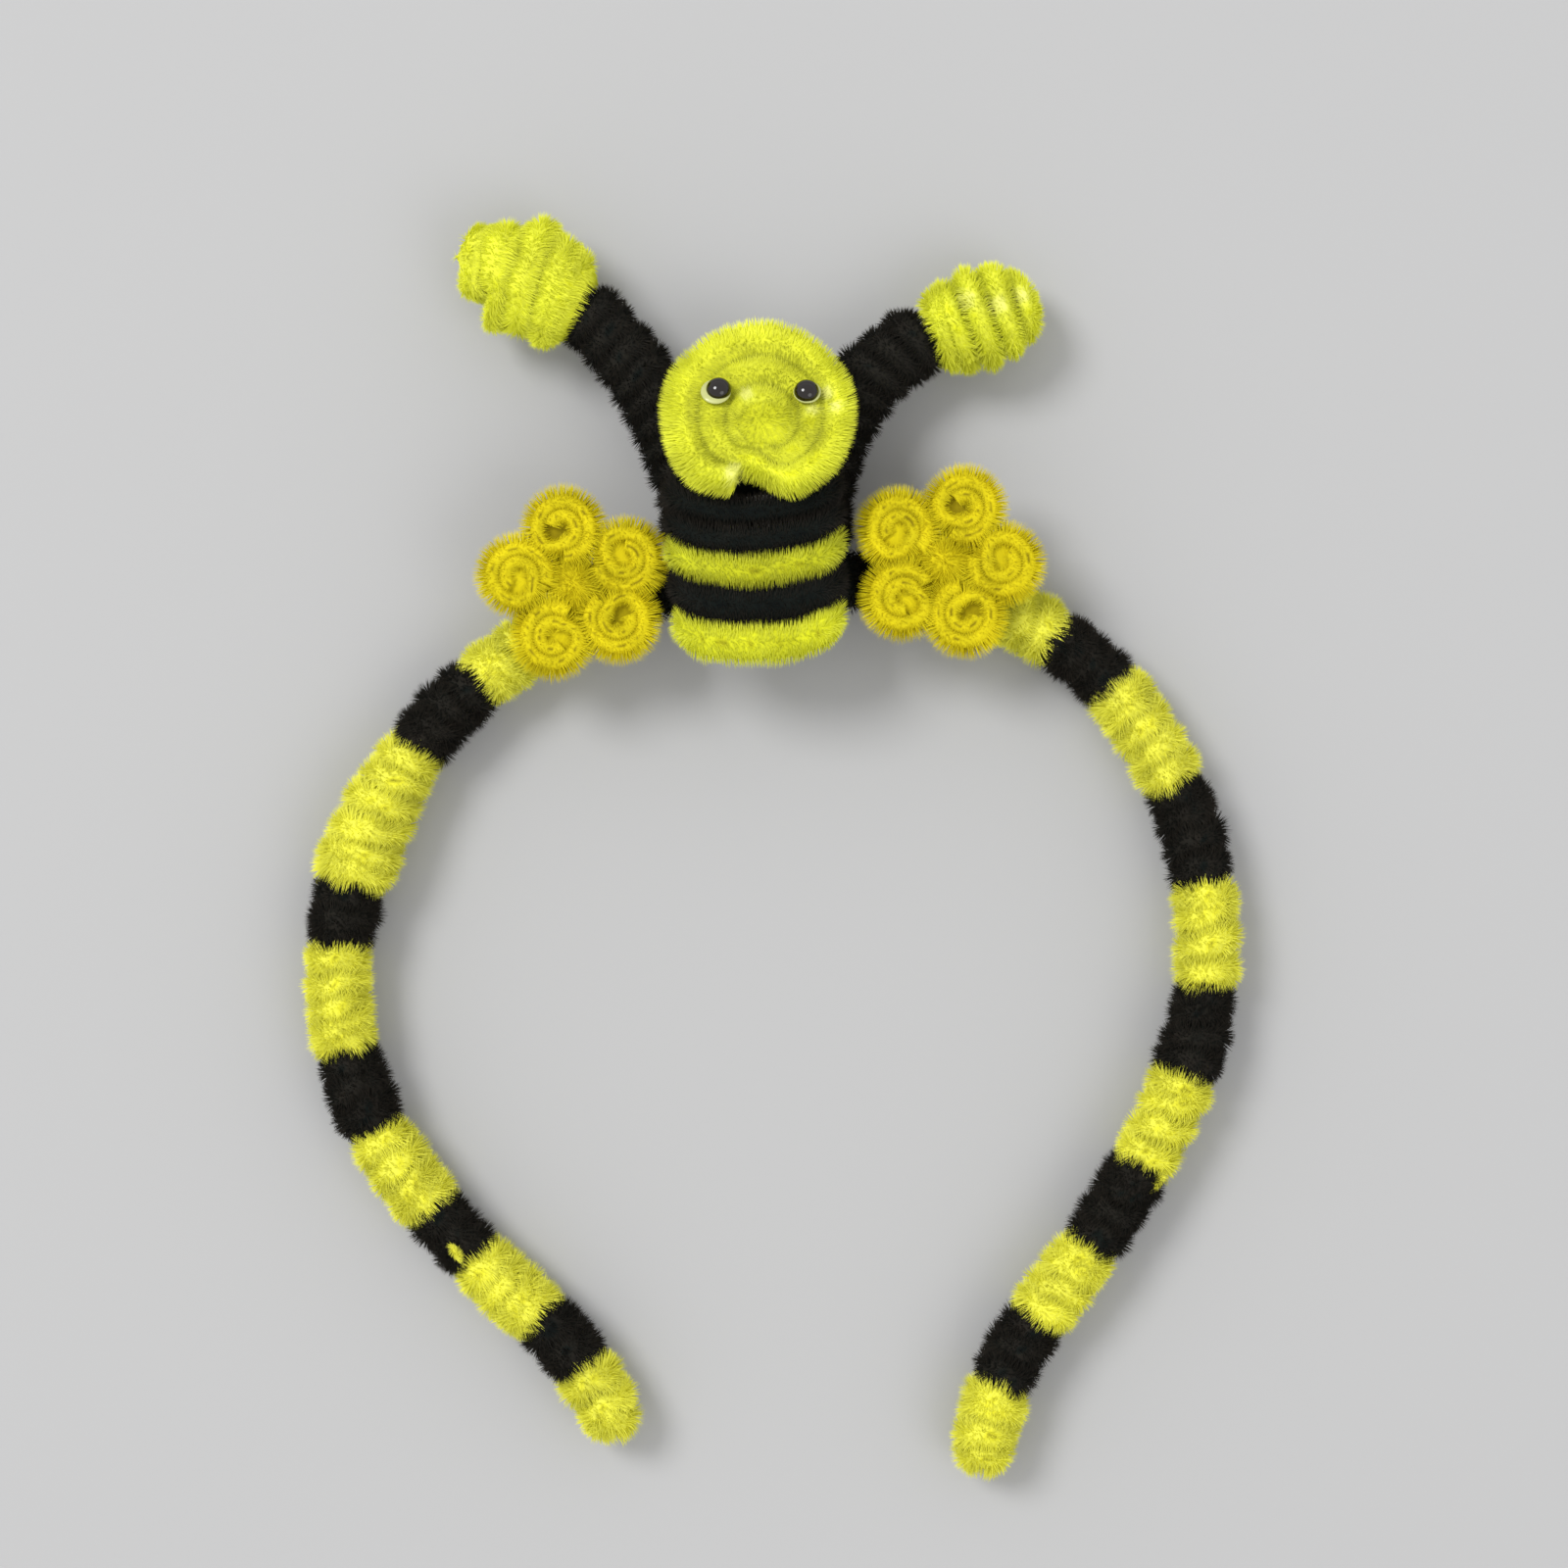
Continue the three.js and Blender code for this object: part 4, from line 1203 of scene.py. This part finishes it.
@dataclass
class Head:
    """The bee's head: one stem coiled flat, with bead eyes and glue on it."""

    body: Body
    radius: float = 16.0
    stem_depth: float = 5.6
    turns: float = 2.9
    begin: float = 245.0
    shift_from: float = 0.85
    lean: float = 30.0
    shift: float = -0.83
    reach: float = 18.2
    outline: tuple[tuple[float, float], ...] = (
        (0.0, 0.88), (45.0, 1.08), (90.0, 1.31), (135.0, 1.2), (180.0, 1.01),
        (222.0, 0.96), (240.0, 0.86), (264.0, 0.75), (288.0, 0.83), (318.0, 0.83),
    )
    wire: tuple[float, float] = (0.76, 0.26)
    pile: float = 1.5
    bead_radius: float = 1.95
    bead_height: float = 1.7
    left_bead: tuple[float, float] = (-7.1, 5.6)
    right_bead: tuple[float, float] = (6.5, 5.2)
    nose: tuple[float, float, float] = (4.5, 4.3, 1.1)
    # Painted shade darkens the inner turns and the nose against the rim.
    dim: float = 0.4
    matted_and_sheen: tuple[Patch, ...] = (
        Patch(-3.9, 71.1, 1.7), Patch(8.6, 71.4, 1.9), Patch(10.0, 69.0, 1.6),
        Patch(6.4, 68.6, 1.6), Patch(-5.8, 58.3, 2.4),
    )

    def matrix(self) -> Matrix:
        """Gives the head's place: its coil's eye, leaning back from the body's top loop."""
        lean = math.radians(self.lean)
        lift = self.body.support(lean + math.radians(self.body.tilt)) + SEAM + self.stem_depth / 2.0
        facing = Vector((0.0, math.sin(lean), math.cos(lean)))
        upwards = Vector((0.0, math.cos(lean), -math.sin(lean)))
        aside = Vector((self.shift, 0.0, 0.0))
        eye = self.body.middle() + facing * lift + upwards * self.reach + aside
        return Matrix.Translation(eye) @ Matrix.Rotation(-lean, 4, "X")

    def edge(self, angle: float) -> float:
        """Gives the distance of the head's edge from the coil's eye at an angle in degrees."""
        rows = self.outline
        angle %= 360.0
        low = max(index for index, row in enumerate(rows) if row[0] <= angle)
        near = []
        for index in (low - 1, low, low + 1, low + 2):
            lap, row = divmod(index, len(rows))
            near.append((rows[row][0] + 360.0 * lap, rows[row][1]))
        before, first, second, after = near
        span = second[0] - first[0]
        share = (angle - first[0]) / span
        slope_in = (second[1] - before[1]) / (second[0] - before[0]) * span
        slope_out = (after[1] - first[1]) / (after[0] - first[0]) * span
        rise = second[1] - first[1]
        bend = 3.0 * rise - 2.0 * slope_in - slope_out
        curl = slope_in + slope_out - 2.0 * rise
        return self.radius * (first[1] + slope_in * share + bend * share ** 2 + curl * share ** 3)

    def build(self, maker: PieceMaker) -> None:
        """Builds and dresses the coil, the beads and the glue."""
        matrix = self.matrix()
        half = 2.0
        wire, pitch = self.wire
        coil = wind_tube(self.turns, half, 14, 110)

        def reshape(point: TubePoint) -> Place:
            """Lays the coil flat inside the head's outline."""
            whole = math.floor(point.progress + 1e-6)
            inward = whole + smooth(self.shift_from, 1.0, point.progress - whole)
            angle = self.begin - 360.0 * point.progress
            edge = self.edge(angle)
            rim = point.out > 0.0 and whole < 1
            width = (1.0 - wire) * edge - self.pile if rim else 0.56 * pitch * edge
            radius = (wire - pitch * inward) * edge + point.out * width / half
            turned = math.radians(angle)
            height = flattened(point.along / half) * (self.stem_depth / 2.0 - 0.9)
            place = Vector((radius * math.cos(turned), radius * math.sin(turned), height))
            place.z += 0.3 * wobble(place, 4.0, 2.0)
            outer = smooth(-0.2, 0.2, point.out / half) if whole < 1 else 0.0
            share = max(outer, smooth(0.0, 0.4, abs(point.along) / half))
            return matrix @ place, share, 1.0 if rim else 0.6

        facing = (matrix.to_3x3() @ UP).normalized()
        reshape_tube(
            coil, reshape, COMBED, facing=facing, lay=0.25, matted_and_sheen=self.matted_and_sheen, dim=self.dim,
        )
        # A bare backing disc in the root's colour: painted shade in the gaps between the turns.
        back = lump(matrix @ Matrix.Translation((0.0, 3.5, -0.8)), (12.0, 12.0, 1.2))
        seat = matrix @ Matrix.Translation((0.0, 0.0, self.stem_depth / 2.0 - 1.35))
        nose = lump(seat, self.nose, 0.5, 0.45, self.dim)
        maker.chenille("head_coil_pile", [coil, back, nose], Colour.LEMON, COMBED, "head_coil")
        for name, (x, y) in (("left_eye", self.left_bead), ("right_eye", self.right_bead)):
            seat = matrix @ Matrix.Translation((x, y, self.stem_depth / 2.0 + 0.15))
            bead = self.dome(self.bead_radius, self.bead_height, seat)
            maker.finish(maker.place(f"{name}_bead", bead, BEAD.material()), "bead", name)
        self.glue(maker, matrix)

    def dome(self, radius: float, height: float, seat: Matrix) -> bmesh.types.BMesh:
        """Makes a closed dome, cut a little below its middle."""
        mesh = bmesh.new()
        bmesh.ops.create_uvsphere(mesh, u_segments=32, v_segments=20, radius=1.0)
        cut = bmesh.ops.bisect_plane(
            mesh, geom=mesh.verts[:] + mesh.edges[:] + mesh.faces[:], plane_co=(0.0, 0.0, -0.2),
            plane_no=(0.0, 0.0, -1.0), clear_outer=True,
        )
        rim = [item for item in cut["geom_cut"] if isinstance(item, bmesh.types.BMEdge)]
        bmesh.ops.holes_fill(mesh, edges=rim, sides=0)
        bmesh.ops.scale(mesh, vec=(radius * MM, radius * MM, height * MM), verts=mesh.verts)
        place = seat.copy()
        place.translation *= MM
        bmesh.ops.transform(mesh, matrix=place, verts=mesh.verts)
        bmesh.ops.recalc_face_normals(mesh, faces=mesh.faces)
        return mesh

    def glue(self, maker: PieceMaker, matrix: Matrix) -> None:
        """Lays a flat dab of clear glue under each bead."""
        dabs = (
            ("left_glue", self.left_bead, (-0.45, -0.3), 2.35),
            ("right_glue", self.right_bead, (0.1, 0.05), 2.15),
        )
        for name, (x, y), (right, up), radius in dabs:
            seat = matrix @ Matrix.Translation((x + right, y + up, self.stem_depth / 2.0))
            dab = self.dome(radius, 0.45, seat)
            for vert in dab.verts:
                vert.co += UP * 0.12 * MM * wobble(vert.co / MM, 1.2, radius)
            maker.finish(maker.place(name, dab, GLUE.material()), "bead")


@dataclass
class Flower:
    """Five coiled petals round a knob, laid on the front of the hoop."""

    name: str
    side: int
    station: float
    outward: float
    turn: float
    swings: tuple[float, ...]
    ring: float = 8.7
    petal_reach: float = 6.9
    inward: float = 1.0
    sideways: float = 0.96
    petal_depth: float = 5.4
    turns: float = 1.7
    begin: float = 170.0
    shift_from: float = 0.8
    wire: tuple[float, float] = (0.62, 0.3)
    pile: float = 1.4
    # Painted shade darkens the inner turns.
    dim: float = 0.12
    hole_heights: tuple[float, ...] = (-0.2, -0.9, 0.0, -0.5, -0.9)
    # Each petal's hole shows the lump behind it, in painted shade.
    hole_shades: tuple[float, ...] = (0.35, 0.12, 0.4, 0.45, 0.2)

    def build(self, maker: PieceMaker) -> None:
        """Builds and dresses the petals and the knob."""
        middle, across, _ = HOOP.at(self.side * self.station)
        middle = middle + across * self.outward
        middle.z = HOOP_FRONT + SEAM + self.petal_depth / 2.0
        for index, swing in enumerate(self.swings):
            angle = math.radians(self.turn + 360.0 * index / len(self.swings) + swing)
            way = Vector((math.cos(angle), math.sin(angle), 0.0))
            matrix = (
                Matrix.Translation(middle + way * self.ring) @ Matrix.Rotation(angle, 4, "Z")
            )
            name = f"{self.name}_petal_{index + 1}"
            seat = matrix @ Matrix.Translation((0.0, 0.0, self.hole_heights[index]))
            back = lump(seat, (5.2, 5.0, 1.1), bed_shade=self.hole_shades[index])
            maker.chenille(f"{name}_pile", [self.petal(matrix), back], Colour.GOLD, RADIAL, name)
        name = f"{self.name}_flower_knob"
        knob = lump(Matrix.Translation(middle - UP * 0.3), (3.9, 3.9, 2.0), 0.8, RADIAL.bed_shade)
        maker.chenille(f"{name}_pile", [knob], Colour.GOLD, RADIAL, name)

    def petal(self, matrix: Matrix) -> bmesh.types.BMesh:
        """Coils one petal flat in its place."""
        half = 1.5
        wire, pitch = self.wire
        coil = wind_tube(self.turns, half, 12, 44)

        def reshape(point: TubePoint) -> Place:
            """Lays the coil flat inside the petal's outline."""
            whole = math.floor(point.progress + 1e-6)
            inward = whole + smooth(self.shift_from, 1.0, point.progress - whole)
            rim = point.out > 0.0 and whole < 1
            width = 1.0 - wire - self.pile / self.petal_reach if rim else 0.57 * pitch
            radius = wire - pitch * inward + point.out * width / half
            turned = math.radians(self.begin) + 2.0 * math.pi * point.progress
            x, y = radius * math.cos(turned), radius * math.sin(turned)
            x *= self.petal_reach * (1.0 if x > 0.0 else self.inward)
            y *= self.petal_reach * self.sideways
            height = flattened(point.along / half) * (self.petal_depth / 2.0 - 0.9)
            place = matrix @ Vector((x, y, height))
            place.z += 0.15 * wobble(place, 3.0, 4.0)
            outer = smooth(-0.2, 0.2, point.out / half) if whole < 1 else 0.2
            share = max(outer, smooth(0.0, 0.4, abs(point.along) / half))
            return place, share, 1.0 if rim else 0.42

        reshape_tube(coil, reshape, RADIAL, lay=0.2, dim=self.dim)
        return coil


@dataclass
class Strays:
    """The tufts pulled through the winding."""

    tufts: tuple[tuple[str, tuple[float, float, float], float, tuple[float, float, float]], ...] = (
        ("left_arm_tuft", (-49.9, -63.3, 12.5), -64.0, (1.4, 0.3, 0.6)),
        ("right_arm_tail", (60.9, -52.4, 9.6), 62.0, (2.0, 0.6, 0.9)),
    )

    def build(self, maker: PieceMaker) -> None:
        """Builds the tufts."""
        growth = Growth(density=26.0, length=1.1, width=0.16, stray=0.2, clump=0.3, bed_shade=0.6)
        for name, middle, turn, radii in self.tufts:
            matrix = Matrix.Translation(middle) @ Matrix.Rotation(math.radians(turn), 4, "Z")
            maker.chenille(name, [lump(matrix, radii, 1.0, growth.bed_shade)], Colour.YELLOW, growth)


@dataclass
class Studio:
    """The floor, the lamps and the camera, straight above the headband."""

    frame_width: float = 250.0
    camera_height: float = 590.0
    camera_place: tuple[float, float] = (1.91, 10.66)
    focus_height: float = 6.5

    def build(self) -> None:
        """Builds the whole studio."""
        bpy.context.scene.view_settings.view_transform = "Standard"
        self.camera()
        self.floor()
        self.lamps()

    def camera(self) -> None:
        """Sets the camera so that its square frame is frame_width wide at the hoop's middle."""
        data = bpy.data.cameras.new("camera")
        data.sensor_width = 36.0
        data.lens = data.sensor_width * (self.camera_height - self.focus_height) / self.frame_width
        data.clip_start, data.clip_end = 0.01, 10.0
        camera = show("camera", data)
        camera.location = Vector((*self.camera_place, self.camera_height)) * MM
        bpy.context.scene.camera = camera

    def floor(self) -> None:
        """Lays a plain pale floor."""
        mesh = bmesh.new()
        bmesh.ops.create_grid(mesh, x_segments=1, y_segments=1, size=5.0)
        data = bpy.data.meshes.new("floor")
        mesh.to_mesh(data)
        mesh.free()
        material, shader = new_material("floor_paper")
        shader.inputs["Base Color"].default_value = (0.375, 0.375, 0.377, 1.0)
        shader.inputs["Roughness"].default_value = 0.9
        data.materials.append(material)
        show("floor", data)

    def lamps(self) -> None:
        """Lights the scene from the upper left, with soft light all round."""
        world = bpy.data.worlds.new("studio")
        world.use_nodes = True
        sky = world.node_tree.nodes["Background"]
        sky.inputs["Color"].default_value = (1.0, 1.0, 1.0, 1.0)
        sky.inputs["Strength"].default_value = 0.95
        bpy.context.scene.world = world
        for name, place, size, energy in (
            ("key", (-1.6, 1.2, 2.6), 1.3, 72.0),
            ("fill", (1.6, -1.3, 2.6), 2.0, 20.0),
        ):
            data = bpy.data.lights.new(name, "AREA")
            data.shape, data.size, data.energy = "DISK", size, energy
            lamp = show(name, data)
            lamp.location = Vector(place)
            lamp.rotation_euler = Vector(place).to_track_quat("Z", "Y").to_euler()


def main() -> None:
    """Builds the studio and the headband, piece by piece."""
    logging.basicConfig(level=logging.INFO, format="%(name)s: %(message)s")
    maker = PieceMaker()
    body = Body()
    Studio().build()
    Hoop().build(maker)
    Antenna(
        "left", -1, 13.0, 42.0, 5.3, (Bend(0.32, 14.0), Bend(0.4, 25.0), Bend(0.28, 3.0)),
        ball_length=20.5, ball_radius=10.2, ball_cant=22.0, ball_turn=8.0, ball_lumps=2.1,
        ball_depth=0.6, ball_fill=0.5, thicken=1.2, stalk_shift=(1.2, 0.7), ball_shift=(0.7, 0.8),
        ball_lobes=(
            (214.0, -3.2, 24.0), (138.0, 1.9, 32.0), (94.0, -1.3, 20.0), (62.0, 0.6, 20.0),
            (250.0, -0.5, 25.0),
        ),
    ).build(maker)
    Antenna(
        "right", 1, 7.1, 39.5, 5.7, (Bend(0.22, -3.0), Bend(0.6, -49.0), Bend(0.18, -10.0)),
        ball_length=18.5, ball_radius=9.2, ball_cant=-12.0, ball_turn=-6.0, ball_lumps=0.4,
        ball_depth=2.6, ball_fill=0.36, thicken=1.1, stalk_shift=(0.5, -0.5), ball_shift=(0.4, 0.1),
        ball_lobes=((140.0, -1.0, 35.0), (65.0, 0.8, 30.0), (-40.0, -0.5, 30.0)),
        # Pale crests on the ball: matted pile with painted sheen.
        matted_and_sheen=(Patch(30.4, 86.7, 2.6), Patch(35.3, 85.8, 2.8), Patch(39.2, 87.5, 2.4)),
    ).build(maker)
    body.build(maker)
    Head(body).build(maker)
    Flower("left", -1, 29.6, 4.5, 29.0, (-3.0, 0.5, -2.0, 2.5, 3.0)).build(maker)
    Flower("right", 1, 26.7, 4.7, 0.6, (-3.0, -2.0, 1.0, 3.0, 1.0)).build(maker)
    Strays().build(maker)
    LOG.info("triangles: %d", maker.triangles)


if __name__ == "__main__":
    main()
